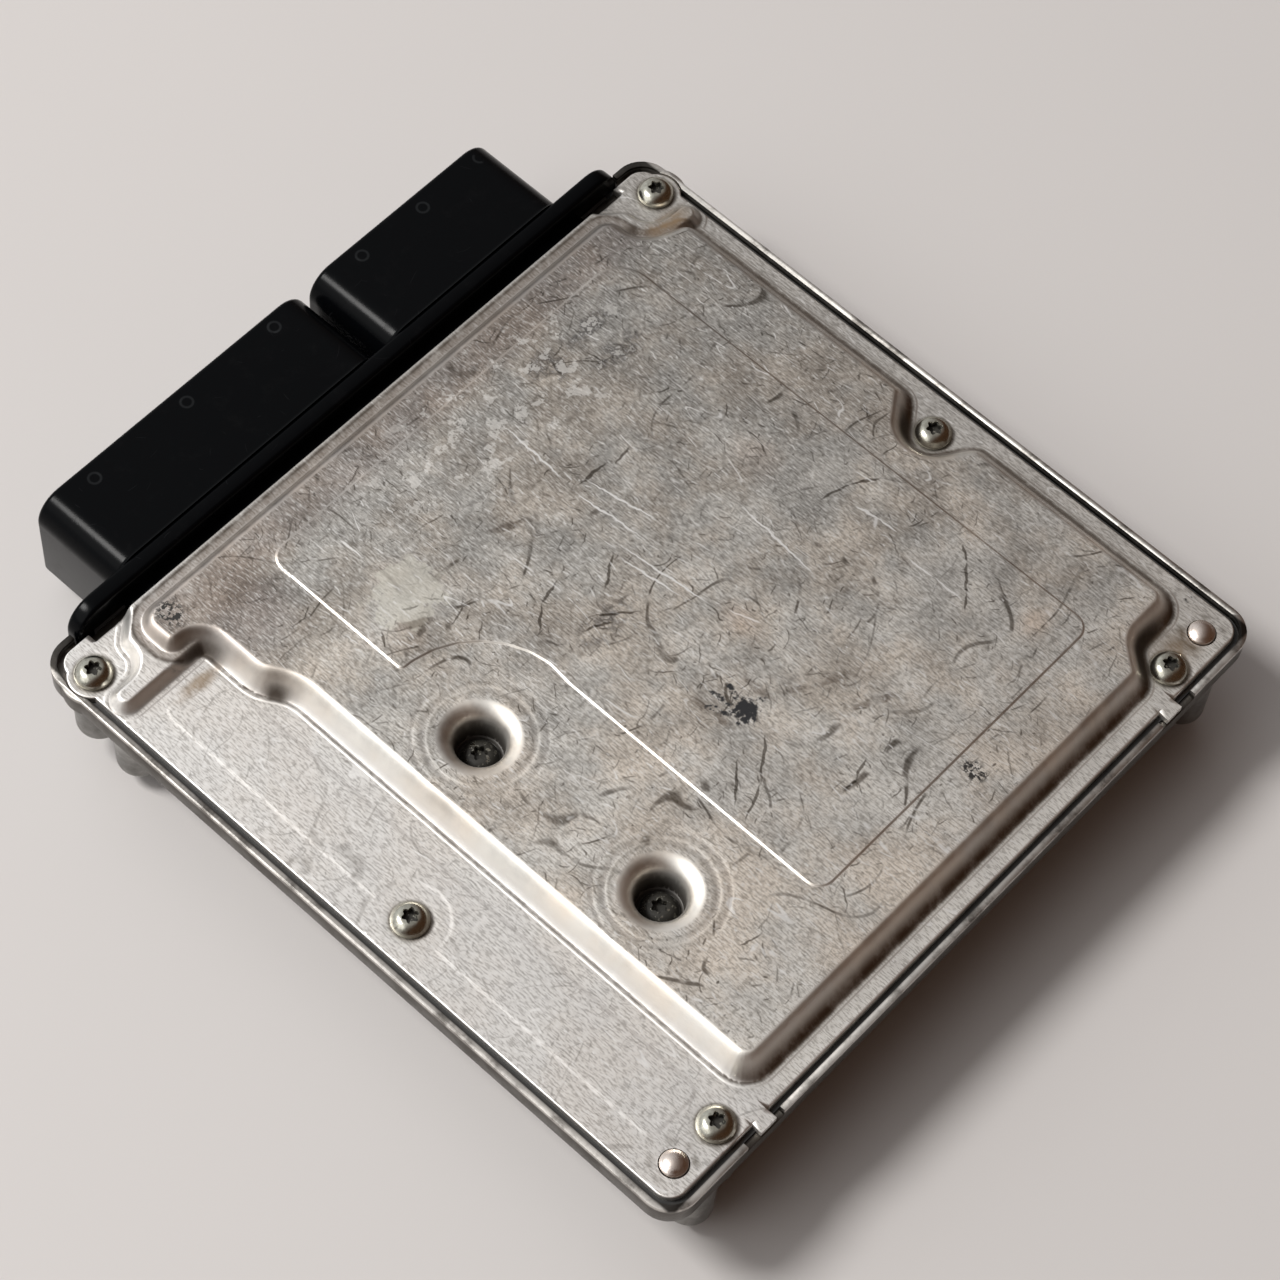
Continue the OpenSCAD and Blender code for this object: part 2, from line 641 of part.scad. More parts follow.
module large_signal_pins() color("goldenrod") for (p = large_signal) contact(p, pin_t);
module small_signal_pins() color("goldenrod") for (p = small_signal) contact(p, pin_t);
module large_power_pins() color("goldenrod") for (p = large_power) contact(p, blade_w);
module small_power_pins() color("goldenrod") for (p = small_power) contact(p, blade_w);

module circuit_board() color("darkgreen") difference() {
    translate([0, 0, board_z]) linear_extrude(board_t)
        rounded(-board_x, board_front_y, board_x, board_rear_y, 3);
    at(well_places) upright(well_boss_r + slip, 0, plateau_z);
    at(board_screw_places) upright(board_screw_d / 2 + slip, 0, plateau_z);
    at(cover_screw_places) upright(boss_r + slip, 0, plateau_z);
    at(lump_places) upright(boss_r + slip, 0, plateau_z);
    for (p = concat(large_signal, small_signal)) translate([p.x, p.z, 0]) upright(pin_t * 0.75, 0, plateau_z);
    for (p = concat(large_power, small_power)) translate([p.x, p.z, 0]) upright(blade_w * 0.6, 0, plateau_z);
}

// Pan-head screw with a six-lobed socket, its head's seat at z = 0
module pan_screw(d, head, h, l) {
    crown = 0.45 * h;
    socket_r = 0.17 * head;
    difference() {
        union() {
            rotate_extrude() polygon([[0, 0], [head / 2, 0], [head / 2, h - 2 * crown],
                [head * 0.47, h - 1.3 * crown], [head * 0.4, h - 0.6 * crown],
                [head * 0.27, h - 0.15 * crown], [0, h]]);
            upright(d / 2, -l, h / 3);
        }
        upright(socket_r * 0.85, h * 0.4, h + 1);
        for (i = [0:5]) rotate(i * 60) translate([socket_r, 0, 0]) upright(socket_r * 0.3, h * 0.4, h + 1);
    }
}

module cover_screws() color("gainsboro") at(cover_screw_places)
    translate([0, 0, flange_z]) pan_screw(screw_d, head_d, head_h, screw_l - sheet_t - 1);
module well_screws() color("gainsboro") at(well_places)
    translate([0, 0, well_floor_z]) pan_screw(screw_d, head_d, head_h, screw_l - 1);
module board_screws() color("gainsboro") at(board_screw_places)
    translate([0, 0, board_top_z]) pan_screw(board_screw_d, board_screw_d * 1.9, 2, board_up);

// Block standing on z = 0 about its middle
module block(w, d, h) {
    box(-w / 2, -d / 2, 0, w / 2, d / 2, h);
}

// Flat package with a row of flat leads on two or four sides, standing on the board
module package(at, size, four = false) {
    w = size[0];
    d = size[1];
    pitch = size[3];
    lead_w = pitch * lead_share;
    translate([at.x, at.y, board_top_z]) {
        block(w, d, size[2]);
        for (t = [-d / 2 + pitch:pitch:d / 2 - pitch]) for (s = [-1, 1])
            translate([s * (w + lead_l) / 2, t, 0]) block(lead_l, lead_w, lead_t);
        if (four) for (t = [-w / 2 + pitch:pitch:w / 2 - pitch]) for (s = [-1, 1])
            translate([t, s * (d + lead_l) / 2, 0]) block(lead_w, lead_l, lead_t);
    }
}

module on_board(places) {
    for (p = places) translate([p.x, p.y, board_top_z]) children();
}

module microcontroller() color("dimgray") package(micro_at, micro_size, true);
module flash_memory() color("dimgray") package(flash_at, flash_size);
module supply_regulator() color("dimgray") package(regulator_at, regulator_size);
module injector_drivers() color("dimgray") for (p = injector_places) package(p, driver_size);
module output_drivers() color("dimgray") for (p = output_places) package(p, driver_size);
module sensor_interface() color("dimgray") package(interface_at, interface_size, true);
module bus_transceivers() color("dimgray") for (p = transceiver_places) package(p, transceiver_size);
module supply_diode() color("dimgray") package(diode_at, diode_size);

// Power transistor: body, metal tab behind and two legs in front
module power_transistors() color("dimgray") on_board(transistor_places) {
    block(transistor_w, transistor_d, transistor_h);
    translate([0, (transistor_d + transistor_tab.y) / 2, 0])
        block(transistor_tab.x, transistor_tab.y, transistor_tab.z);
    for (s = [-1, 1]) translate([s * 0.35 * transistor_w, -(transistor_d + transistor_leg.y) / 2, 0])
        block(transistor_leg.x, transistor_leg.y, transistor_leg.z);
}

module electrolytic_capacitors() color("slategray") on_board(can_places) cylinder(r = can_r, h = can_h);

module ceramic_capacitors() color("tan") on_board(ceramic_places)
    block(ceramic_size.x, ceramic_size.y, ceramic_size.z);

// Wound drum on a square foot
module boost_inductor() color("dimgray") on_board([inductor_at]) {
    block(drum_foot.x, drum_foot.x, drum_foot.y);
    cylinder(r = drum_r, h = drum_h - drum_top_t / 3);
    translate([0, 0, drum_h - drum_top_t]) cylinder(r = drum_top_r, h = drum_top_t);
}

module clock_crystal() color("gainsboro") on_board([crystal_at]) linear_extrude(crystal_size.z)
    rounded(-crystal_size.x / 2, -crystal_size.y / 2, crystal_size.x / 2, crystal_size.y / 2, crystal_r);

module pressure_sensor() color("dimgray") difference() {
    package(sensor_at, sensor_size);
    translate([sensor_at.x, sensor_at.y, board_top_z + sensor_size[2] - vent_deep])
        cylinder(r = vent_r, h = vent_deep + 1);
}

base_housing();
top_cover();
cover_seal();
connector_header();
header_seal();
circuit_board();
large_signal_pins();
large_power_pins();
small_signal_pins();
small_power_pins();
cover_screws();
well_screws();
board_screws();
microcontroller();
flash_memory();
supply_regulator();
injector_drivers();
output_drivers();
sensor_interface();
bus_transceivers();
power_transistors();
electrolytic_capacitors();
ceramic_capacitors();
boost_inductor();
supply_diode();
clock_crystal();
pressure_sensor();
thermal_pads();
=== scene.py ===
"""Looks of a worn engine control unit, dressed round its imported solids.

Sizes and places are in millimetres, as in the part's source, and every mesh is scaled by MM as it is made.
"""
import math

import bmesh
import bpy
import numpy as np
from mathutils import Matrix, Vector
from mathutils.geometry import delaunay_2d_cdt


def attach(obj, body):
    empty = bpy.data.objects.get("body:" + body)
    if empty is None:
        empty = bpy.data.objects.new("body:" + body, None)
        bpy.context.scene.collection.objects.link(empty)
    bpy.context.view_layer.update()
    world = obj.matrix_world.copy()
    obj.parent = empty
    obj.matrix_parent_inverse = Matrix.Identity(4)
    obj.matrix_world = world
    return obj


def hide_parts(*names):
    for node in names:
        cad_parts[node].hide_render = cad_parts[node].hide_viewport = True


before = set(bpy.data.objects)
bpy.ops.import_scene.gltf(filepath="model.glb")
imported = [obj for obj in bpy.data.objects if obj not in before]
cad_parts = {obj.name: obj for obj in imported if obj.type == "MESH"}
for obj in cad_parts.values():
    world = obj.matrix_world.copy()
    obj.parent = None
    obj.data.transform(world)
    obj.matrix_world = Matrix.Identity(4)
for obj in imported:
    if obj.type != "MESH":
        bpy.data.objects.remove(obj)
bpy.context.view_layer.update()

MM = 0.001

# Cover, repeated from the part's source
FLANGE_Z = 27.0
SHEET_T = 1.5
EDGE_X = 86.6
FRONT_Y = -82.2
REAR_Y = 82.2
BASE_FRONT_Y = -84.4
COVER_R = 4.0
SHEET_BOX = (-EDGE_X, BASE_FRONT_Y, EDGE_X, REAR_Y)
EAR_R = 5.5
PAD_X = 77.5
TAB_X = 61.7
TAB_W = 4.4
TAB_ROOT_Y = REAR_Y - 3
TAB_END_Y = 84.5
PLATEAU_RISE = 5.0
PLATEAU_RUN = 3.4
BAND_RISE = 2.5
BAND_RUN = 2.4
LABEL_RISE = 0.22
LABEL_RUN = 0.6
SHELF_RISE = 0.05
SHELF_RUN = 1.0
PLATEAU = [
    (-71.5, -81, 6), (72.5, -81, 7), (72.5, -65.5, 5), (64.3, -65.5, 2.6), (64.3, -51, 11), (60.2, -44.5, 11),
    (60.2, 77.7, 6.5), (-62.2, 77.7, 5), (-68.3, 70.6, 4), (-82.4, 70.6, 6), (-82.4, 15.2, 5),
    (-72.9, 8.8, 4.6), (-72.9, 3.6, 4.6), (-82.4, -2.8, 5), (-82.4, -66.6, 5), (-71.5, -70.8, 5),
]
BAND_RIGHT = [
    (69.4, -90.2, 1), (69.4, -83, 5), (75.3, -78, 4), (76, -71.7, 4.2), (86.3, -71.5, 3.6), (86.3, -64.3, 3.6),
]
BAND = BAND_RIGHT + [(-x, y, r) for x, y, r in reversed(BAND_RIGHT)]
SHELF_BOX = (65.2, -61.5, 80, 70.9)
SHELF_R = 3
SHELF_CLEAR_R = 7.5

# Fasteners
FRONT_SCREW = (83.0, -77.0)
MID_SCREW = (78.2, 6.2)
REAR_SCREW = (68.7, 77.3)
PEG = (80.0, 76.8)
EARS = [(s * FRONT_SCREW[0], FRONT_SCREW[1]) for s in (-1, 1)]
COVER_SCREWS = [(s * x, y) for s in (-1, 1) for x, y in (FRONT_SCREW, MID_SCREW, REAR_SCREW)]
COVER_SCREW_TURNS = (10, 25, 48, 5, 33, 52)
PEGS = [(s * PEG[0], PEG[1]) for s in (-1, 1)]
WELLS = [(41.8, -10.1), (41.8, 38.3)]
WELL_SCREW_TURNS = (15, 40)
WELL_DEPTH = 9.0
WELL_R = 5.2
WELL_LIP_R = 9.0
SCREW_HOLE_R = 2.3
PEG_HOLE_R = 3.1
HEAD_R = 4.0
HEAD_H = 2.6
HEAD_SINK = 0.1
LABEL_CLEAR_R = 21.5
LABEL_ARC = [
    (WELLS[0][0] + LABEL_CLEAR_R * math.cos(a), WELLS[0][1] + LABEL_CLEAR_R * math.sin(a), 8)
    for a in map(math.radians, range(262, 183, -13))
]
LABEL = [
    (-62.9, -69.6, 8), (42, -69.6, 4), (42, -31.6, 1.5), *LABEL_ARC,
    (21, -6, 6), (21, 61.1, 4), (-62.9, 61.1, 4),
]

# Header: the shrouds are given by their ends along X
SHROUDS = ((-10.0, 66.0), (-66.0, -12.0))
SHROUD_LOW_Z = 5.0
SHROUD_TOP_Z = 31.0
SHROUD_TOP_R = 6.5
SHROUD_LOW_R = 3.0
SHROUD_WALL = 2.2
SHROUD_FOOT_R = 1.2
MOUTH_Y = -112.3
SOCKET_FLOOR_Y = -87.5
HEADER_FRONT_Y = -89.0
HEADER_BACK_Y = -85.0
HEADER_X = 79.5
HEADER_LOW_Z = 4.0
HEADER_TOP_Z = 32.0
HEADER_R = 6.5
HEADER_ROUND = 0.9
NECK_X = 67.0
NECK_LOW_Z = 7.0
NECK_TOP_Z = 27.7
NECK_FRONT_Y = HEADER_BACK_Y - 1
NECK_BACK_Y = -78.0
NECK_R = 1
NECK_ROUND = 0.5

# Ejector rings on the shrouds
EJECTORS = [(52.8, -108.3), (26.8, -108.3), (1.0, -108.8), (-24.9, -108.6), (-42.9, -108.2), (-61.0, -108.8)]
EJECTOR_R = 1.3

# Camera at the photograph's viewing angle: place in metres, axes and lens
CAMERA_AT = (0.3071, 0.2302, 0.697)
CAMERA_RIGHT = (-0.6757, 0.7353, 0.0512)
CAMERA_UP = (-0.6219, -0.6060, 0.4959)
CAMERA_BACK = (0.3957, 0.3033, 0.8668)
CAMERA_LENS = 107.7
CAMERA_SENSOR = 36.0

# Surroundings: the direction they lighten towards, and their colour at either end
WORLD_LEAN = (0.35, -0.85, 0.39)
WORLD_DARK = (0.07, 0.035, 0.018)
WORLD_LIGHT = (0.74, 0.75, 0.76)

# Lamps aimed at the origin: place and width in metres, power and colour
LAMPS = {
    "key": ((1.08, -1.56, 2.325), 0.9, 73, (1.0, 0.985, 0.965)),
    "side": ((1.5, -0.6, 1.2), 1.6, 7, (1.0, 0.99, 0.97)),
}

# Floor
FLOOR_HALF = 2500.0
FLOOR_Z = -0.05
FLOOR_TONES = ((0.635, 0.61, 0.597), (0.61, 0.586, 0.575))


# Mesh helpers

def unit(v):
    return v / np.linalg.norm(v)


def left_of(v):
    return np.array((-v[1], v[0]))


def box_corners(x0, low, x1, high, r, high_r=None):
    """Corners (x, y, radius) of a box; high_r is the radius of the two upper ones where it differs."""
    high_r = r if high_r is None else high_r
    return [(x0, low, r), (x1, low, r), (x1, high, high_r), (x0, high, high_r)]


def ring(corners, inset=0.0, arc_steps=8, least_r=0.2):
    """Points of an outline of rounded corners (x, y, radius), counter-clockwise, moved inwards by inset."""
    places = [np.array(c[:2], float) for c in corners]
    points = []
    for i, (here, corner) in enumerate(zip(places, corners)):
        come = unit(here - places[i - 1])
        go = unit(places[(i + 1) % len(places)] - here)
        turn = math.atan2(come[0] * go[1] - come[1] * go[0], come @ go)
        side = math.copysign(1, turn)
        inner = here + inset * (left_of(come) + left_of(go)) / (1 + come @ go)
        r = max(least_r, corner[2] - side * inset)
        start = inner - come * r * math.tan(abs(turn) / 2)
        centre = start + side * r * left_of(come)
        arm = start - centre
        for a in np.linspace(0, turn, arc_steps + 1):
            points.append(centre + arm * math.cos(a) + left_of(arm) * math.sin(a))
    return np.array(points)


def filled(points, step, like=None):
    """The same closed ring with points added so that none lie further apart than step on the ring like."""
    like = points if like is None else like
    out = []
    for a, b, gap in zip(points, np.roll(points, -1, axis=0), np.roll(like, -1, axis=0) - like):
        n = max(1, math.ceil(np.linalg.norm(gap) / step))
        out += [a + (b - a) * k / n for k in range(n)]
    return np.array(out)


def filled_rings(corners, insets, arc_steps, step):
    """Rings moved inwards by each inset, with their points side by side."""
    like = ring(corners, 0, arc_steps)
    return [filled(ring(corners, inset, arc_steps), step, like) for inset in insets]


def circle(centre, r, n=48):
    a = np.arange(n) * 2 * math.pi / n
    return np.column_stack((centre[0] + r * np.cos(a), centre[1] + r * np.sin(a)))


def inside_by(points, closed, batch=2000):
    """How far each point lies inside a closed ring; negative outside it. It takes the points in batches."""
    a, b = closed, np.roll(closed, -1, axis=0)
    e = b - a
    long2 = np.maximum((e * e).sum(1), 1e-12)
    out = np.empty(len(points))
    for k in range(0, len(points), batch):
        p = points[k:k + batch, None, :]
        w = p - a
        t = np.clip((w * e).sum(2) / long2, 0, 1)
        d = np.linalg.norm(w - t[..., None] * e, axis=2).min(1)
        cross = e[:, 0] * w[..., 1] - e[:, 1] * w[..., 0]
        up = (a[:, 1] <= p[..., 1]) & (b[:, 1] > p[..., 1]) & (cross > 0)
        down = (a[:, 1] > p[..., 1]) & (b[:, 1] <= p[..., 1]) & (cross < 0)
        out[k:k + batch] = np.where(up.sum(1) != down.sum(1), d, -d)
    return out


def inside_box(points, x0, y0, x1, y1, r=0.0):
    """How far each point lies inside a box with rounded corners; negative outside it."""
    q = np.abs(points - ((x0 + x1) / 2, (y0 + y1) / 2)) - ((x1 - x0) / 2 - r, (y1 - y0) / 2 - r)
    return r - np.minimum(q.max(1), 0) - np.linalg.norm(np.maximum(q, 0), axis=1)


def far(points, centre):
    return np.linalg.norm(points - centre, axis=1)


def smooth(t):
    """Smooth rise from 0 at 0 to 1 at 1."""
    t = np.clip(t, 0, 1)
    return t * t * (3 - 2 * t)


def ramp(d, start, run):
    """Smooth rise from 0 at start to 1 after run; with a negative run it climbs towards lower d."""
    return smooth((d - start) / run)


def bell(d, middle, width):
    return np.exp(-((d - middle) / width) ** 2)


def linked(name, data):
    """New object in the scene."""
    thing = bpy.data.objects.new(name, data)
    bpy.context.scene.collection.objects.link(thing)
    return thing


def add_mesh(name, vertices, faces):
    mesh = bpy.data.meshes.new(name)
    mesh.from_pydata([tuple(v * MM for v in p) for p in vertices], [], faces)
    mesh.validate()
    return linked(name, mesh)


def shade(thing, degrees=35):
    """Smooth shading, with edges sharper than the angle kept."""
    thing.data.shade_smooth()
    thing.data.set_sharp_from_angle(angle=math.radians(degrees))


def place(thing, slot, material, *nodes):
    """Gives a piece its material and body, and hides the nodes that it stands for. The slot is not used."""
    thing.data.materials.clear()
    thing.data.materials.append(material)
    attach(thing, "root")
    if nodes:
        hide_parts(*nodes)


# Pressed cover: a height over the plan, sampled on rings that follow each form

PLATEAU_RING = filled(ring(PLATEAU), 12)
BAND_RING = filled(ring(BAND), 12)
LABEL_RING = filled(ring(LABEL), 12)
EDGE_ROUND = 0.35
CREST_RUN = 4.5
CREST_POWER = 0.85
FORM_BLEND = 0.6

# Coined step at the feet of the walls: how far out it reaches, and the height at which it has faded
COIN_RISE = 0.08
COIN_RUN = 0.5
PLATEAU_COIN = 1.3
BAND_COIN = 1.1
COIN_FADE = 1.5

# Screw wells and seats; a drawing ring is a radius and a depth
THROAT_RUN = 0.3
WELL_FLOOR_R = 4.1
WELL_FLOOR_RUN = 0.8
WELL_FLOOR_RISE = 0.6
DRAWING_RINGS = ((11.2, 0.05), (13.6, 0.04))
DRAWING_RING_W = 0.5
SEAT_R = 4.6
SEAT_RUN = 0.9
SEAT_DEPTH = 0.03

# Where the cover's points lie: insets and radii of the rings, then the grid between them
EDGE_INSETS = (0.06, 0.14, 0.24, EDGE_ROUND, 0.6)
PLATEAU_INSETS = np.linspace(-0.4, 1.48, 20) * PLATEAU_RUN
BAND_INSETS = np.linspace(-0.5, 1.2, 15) * BAND_RUN
LABEL_INSETS = (-0.3, 0, 0.15, 0.3, 0.45, 0.6, 1.0)
SHELF_INSETS = (-0.4, 0, 0.3, 0.6, 0.9, 1.3)
THROAT_RS = [3.2, 4.1, 4.4, 4.65, 4.85, 4.95, 5.02, 5.1, 5.18]
LIP_RS = [WELL_LIP_R - (WELL_LIP_R - WELL_R) * math.cos(a) for a in np.linspace(0.1, math.pi / 2, 10)]
ROUND_WELL_RS = [9.6, 10.3, 10.8, 11.2, 11.6, 12.2, 12.9, 13.3, 13.6, 13.9, 14.4]
SEAT_RS = (3.2, 4.2, 4.5, 4.8, 5.1, 5.4)
RING_STEP = 1.0
SHELF_STEP = 1.2
HOLE_SIDES = 32
SEAT_SIDES = 40
WELL_SIDES = 72
GRID_STEP = 1.5
GRID_X = np.arange(-88, 89, GRID_STEP)
GRID_Y = np.arange(-84, 85, GRID_STEP)
FORM_CELL = 0.13
FORM_GAP = 0.04
GRID_CELL = 1.1
GRID_GAP = 0.8
SLOPE_NUDGE = 0.02
HOLES = [(c, SCREW_HOLE_R) for c in COVER_SCREWS + WELLS] + [(c, PEG_HOLE_R) for c in PEGS]


def cover_inside(p):
    """How far each point lies inside the cover's flat outline."""
    sheet = inside_box(p, *SHEET_BOX, COVER_R)
    for ear in EARS:
        sheet = np.maximum(sheet, EAR_R - far(p, ear))
    for s in (-1, 1):
        tab = inside_box(p, s * TAB_X - TAB_W / 2, TAB_ROOT_Y, s * TAB_X + TAB_W / 2, TAB_END_Y)
        sheet = np.maximum(sheet, tab)
    return np.minimum(sheet, -np.minimum(PAD_X - np.abs(p[:, 0]), FRONT_Y - p[:, 1]))


def well_height(r):
    """Height of a screw well's surface against the plateau, by distance from its axis."""
    lip = WELL_LIP_R - WELL_R
    over = np.clip((WELL_LIP_R - r) / lip, 0, 1)
    rounded = -lip * (1 - np.sqrt(1 - over * over))
    throat = -lip - (WELL_DEPTH - lip) * np.clip((WELL_R - r) / THROAT_RUN, 0, 1)
    floor = WELL_FLOOR_RISE * ramp(r, WELL_FLOOR_R, WELL_FLOOR_RUN)
    return np.where(r >= WELL_R, rounded, np.maximum(throat, floor - WELL_DEPTH))


def cover_height(p):
    """Height of the cover's upper face above the flange."""
    d_plateau = inside_by(p, PLATEAU_RING)
    d_band = inside_by(p, BAND_RING)
    plateau = PLATEAU_RISE * smooth(np.maximum(d_plateau / CREST_RUN, 0) ** CREST_POWER)
    band = BAND_RISE * smooth(d_band / BAND_RUN)
    blend = np.maximum(np.minimum(FORM_BLEND, np.minimum(plateau, band)), 1e-6)
    meet = np.maximum(blend - np.abs(plateau - band), 0)
    h = np.maximum(plateau, band) + meet * meet / (4 * blend)
    h += LABEL_RISE * smooth(inside_by(p, LABEL_RING) / LABEL_RUN)
    shelf = np.minimum(inside_box(p, *SHELF_BOX, SHELF_R), far(p, MID_SCREW) - SHELF_CLEAR_R)
    h += SHELF_RISE * smooth(shelf / SHELF_RUN)
    coin = np.maximum(ramp(d_plateau, -PLATEAU_COIN, COIN_RUN), ramp(d_band, -BAND_COIN, COIN_RUN))
    h += COIN_RISE * coin * (1 - smooth(h / COIN_FADE))
    for well in WELLS:
        r = far(p, well)
        h += well_height(r)
        for ring_r, depth in DRAWING_RINGS:
            h -= depth * bell(r, ring_r, DRAWING_RING_W)
    for screw in COVER_SCREWS:
        h -= SEAT_DEPTH * (1 - ramp(far(p, screw), SEAT_R, SEAT_RUN))
    edge = np.clip(1 - cover_inside(p) / EDGE_ROUND, 0, 1)
    return h - EDGE_ROUND * (1 - np.sqrt(1 - edge * edge))


def cover_points():
    """Plan points of the cover: closed rings that bound it, points that follow its forms, then a grid."""
    sheet_rings = filled_rings(box_corners(*SHEET_BOX, COVER_R), (0.0, *EDGE_INSETS), 8, RING_STEP)
    cut_y = BASE_FRONT_Y - 2
    cut = filled(np.array([(-PAD_X, cut_y), (PAD_X, cut_y), (PAD_X, FRONT_Y), (-PAD_X, FRONT_Y)]), RING_STEP)
    bounds = [sheet_rings[0], cut]
    for s, ear in zip((-1, 1), EARS):
        bounds.append(circle(ear, EAR_R))
        x0, x1 = s * TAB_X - TAB_W / 2, s * TAB_X + TAB_W / 2
        bounds.append(np.array([(x0, TAB_ROOT_Y), (x1, TAB_ROOT_Y), (x1, TAB_END_Y), (x0, TAB_END_Y)]))
    bounds += [circle(c, r, HOLE_SIDES) for c, r in HOLES]

    forms = filled_rings(PLATEAU, PLATEAU_INSETS, 10, RING_STEP)
    forms += filled_rings(BAND, BAND_INSETS, 8, RING_STEP)
    forms += filled_rings(LABEL, LABEL_INSETS, 8, RING_STEP)
    forms += filled_rings(box_corners(*SHELF_BOX, SHELF_R), SHELF_INSETS, 6, SHELF_STEP)
    forms += [circle(MID_SCREW, SHELF_CLEAR_R + d) for d in SHELF_INSETS]
    forms += sheet_rings[1:]
    for d in EDGE_INSETS:
        forms.append(cut[np.isclose(cut[:, 1], FRONT_Y)] + (0, d))
        forms += [circle(ear, EAR_R - d) for ear in EARS]
    forms += [circle(c, r, WELL_SIDES) for c in WELLS for r in THROAT_RS + LIP_RS + ROUND_WELL_RS]
    forms += [circle(c, r, SEAT_SIDES) for c in COVER_SCREWS for r in SEAT_RS]
    x, y = np.meshgrid(GRID_X, GRID_Y)
    return bounds, np.vstack(forms), np.column_stack((x.ravel(), y.ravel()))


def cell_of(p, cell):
    return round(p[0] / cell), round(p[1] / cell)


def thinned(points, taken, cell):
    """The points that fall in no cell of a square grid that is already taken."""
    kept = []
    for p in points:
        key = cell_of(p, cell)
        if key not in taken:
            taken.add(key)
            kept.append(p)
    return np.array(kept)


def clear_of_edges(p, gap):
    """The points that keep a gap to the cover's outline and holes."""
    keep = cover_inside(p) > gap
    for centre, r in HOLES:
        keep &= far(p, centre) > r + gap
    return p[keep]


def cover_plan():
    """Plan points and triangles of the cover, its outline and holes kept as edges."""
    bounds, forms, grid = cover_points()
    edges, outline = [], []
    for closed in bounds:
        n = len(outline)
        edges += [(n + i, n + (i + 1) % len(closed)) for i in range(len(closed))]
        outline += list(closed)
    outline = np.array(outline)
    forms = thinned(clear_of_edges(forms, FORM_GAP), {cell_of(p, FORM_CELL) for p in outline}, FORM_CELL)
    taken = {cell_of(p, GRID_CELL) for p in np.vstack((outline, forms))}
    grid = thinned(clear_of_edges(grid, GRID_GAP), taken, GRID_CELL)
    found = delaunay_2d_cdt([Vector(p) for p in np.vstack((outline, forms, grid))], edges, [], 0, 1e-5)
    plan = np.array([tuple(v) for v in found[0]])
    faces = np.array([f for f in found[2] if len(f) == 3])

    middle = plan[faces].mean(1)
    keep = cover_inside(middle) > 0
    for centre, r in HOLES:
        keep &= far(middle, centre) > r * math.cos(math.pi / HOLE_SIDES)
    used, faces = np.unique(faces[keep], return_inverse=True)
    plan, faces = plan[used], faces.reshape(-1, 3)
    a, b, c = (plan[faces[:, k]] for k in range(3))
    area = (b[:, 0] - a[:, 0]) * (c[:, 1] - a[:, 1]) - (b[:, 1] - a[:, 1]) * (c[:, 0] - a[:, 0])
    faces[area < 0] = faces[area < 0][:, ::-1]
    return plan, faces[np.abs(area) > 1e-7]


def cover_slope(plan, nudge):
    """Slope of the cover's upper face along a small step in the plan."""
    rise = cover_height(plan + nudge) - cover_height(plan - nudge)
    return rise / (2 * max(nudge))


def cover_masks(plan, slope_x, slope_y):
    """Shares from 0 to 1 by which the cover's material finds its forms."""
    d_plateau = inside_by(plan, PLATEAU_RING)
    d_band = inside_by(plan, BAND_RING)
    well = np.minimum(far(plan, WELLS[0]), far(plan, WELLS[1]))
    fastener = np.min([far(plan, c) for c in COVER_SCREWS + PEGS], axis=0)
    steepness = np.hypot(slope_x, slope_y)
    tilt_x, tilt_y = (-slope / np.maximum(steepness, 1e-3) for slope in (slope_x, slope_y))
    rearward = ramp(tilt_y, 0.1, 0.6) * np.where(plan[:, 1] < -55, 0.55, 1)
    shelfward = ramp(tilt_x, 0.2, 0.5)

    raised = smooth(d_plateau / PLATEAU_RUN)
    wall = ramp(d_plateau, 2.9, -2.2) * ramp(d_plateau, -0.5, 0.4)
    plateau_foot = np.maximum(bell(d_plateau, -0.1, 0.55), 0.5 * bell(d_plateau, -1.6, 0.25))
    band_foot = 0.6 * bell(d_band, 0.1, 0.5) * (1 - raised)
    drawn = np.maximum(0.35 * bell(well, 10.3, 0.4), 0.3 * bell(well, 12.4, 0.4))
    return {
        "raised": raised,
        # Painted shade with dirt in the creases at the walls' feet, weaker where the walls face the light
        "foot": np.maximum(plateau_foot * (1 - 0.65 * shelfward), band_foot),
        # Painted shade down the walls: strongest where they face +Y, away from the light, weakest where they
        # face +X
        "wall": wall * (0.5 + 0.5 * rearward - 0.4 * shelfward),
        # Band at the plateau's feet where corner spots of painted shade with dirt go
        "nook": ramp(d_plateau, 3.2, -1.6) * ramp(d_plateau, -1.3, 0.9),
        "steep": ramp(steepness, 0.03, 0.12),
        # Painted contact shade with dirt round screw heads and pegs, and darker rings round the wells
        "ring": np.maximum(bell(fastener, HEAD_R + 0.15, 0.4), drawn),
        # Painted shade inside the screw wells
        "well": ramp(well, WELL_R + 0.6, -0.8),
    }


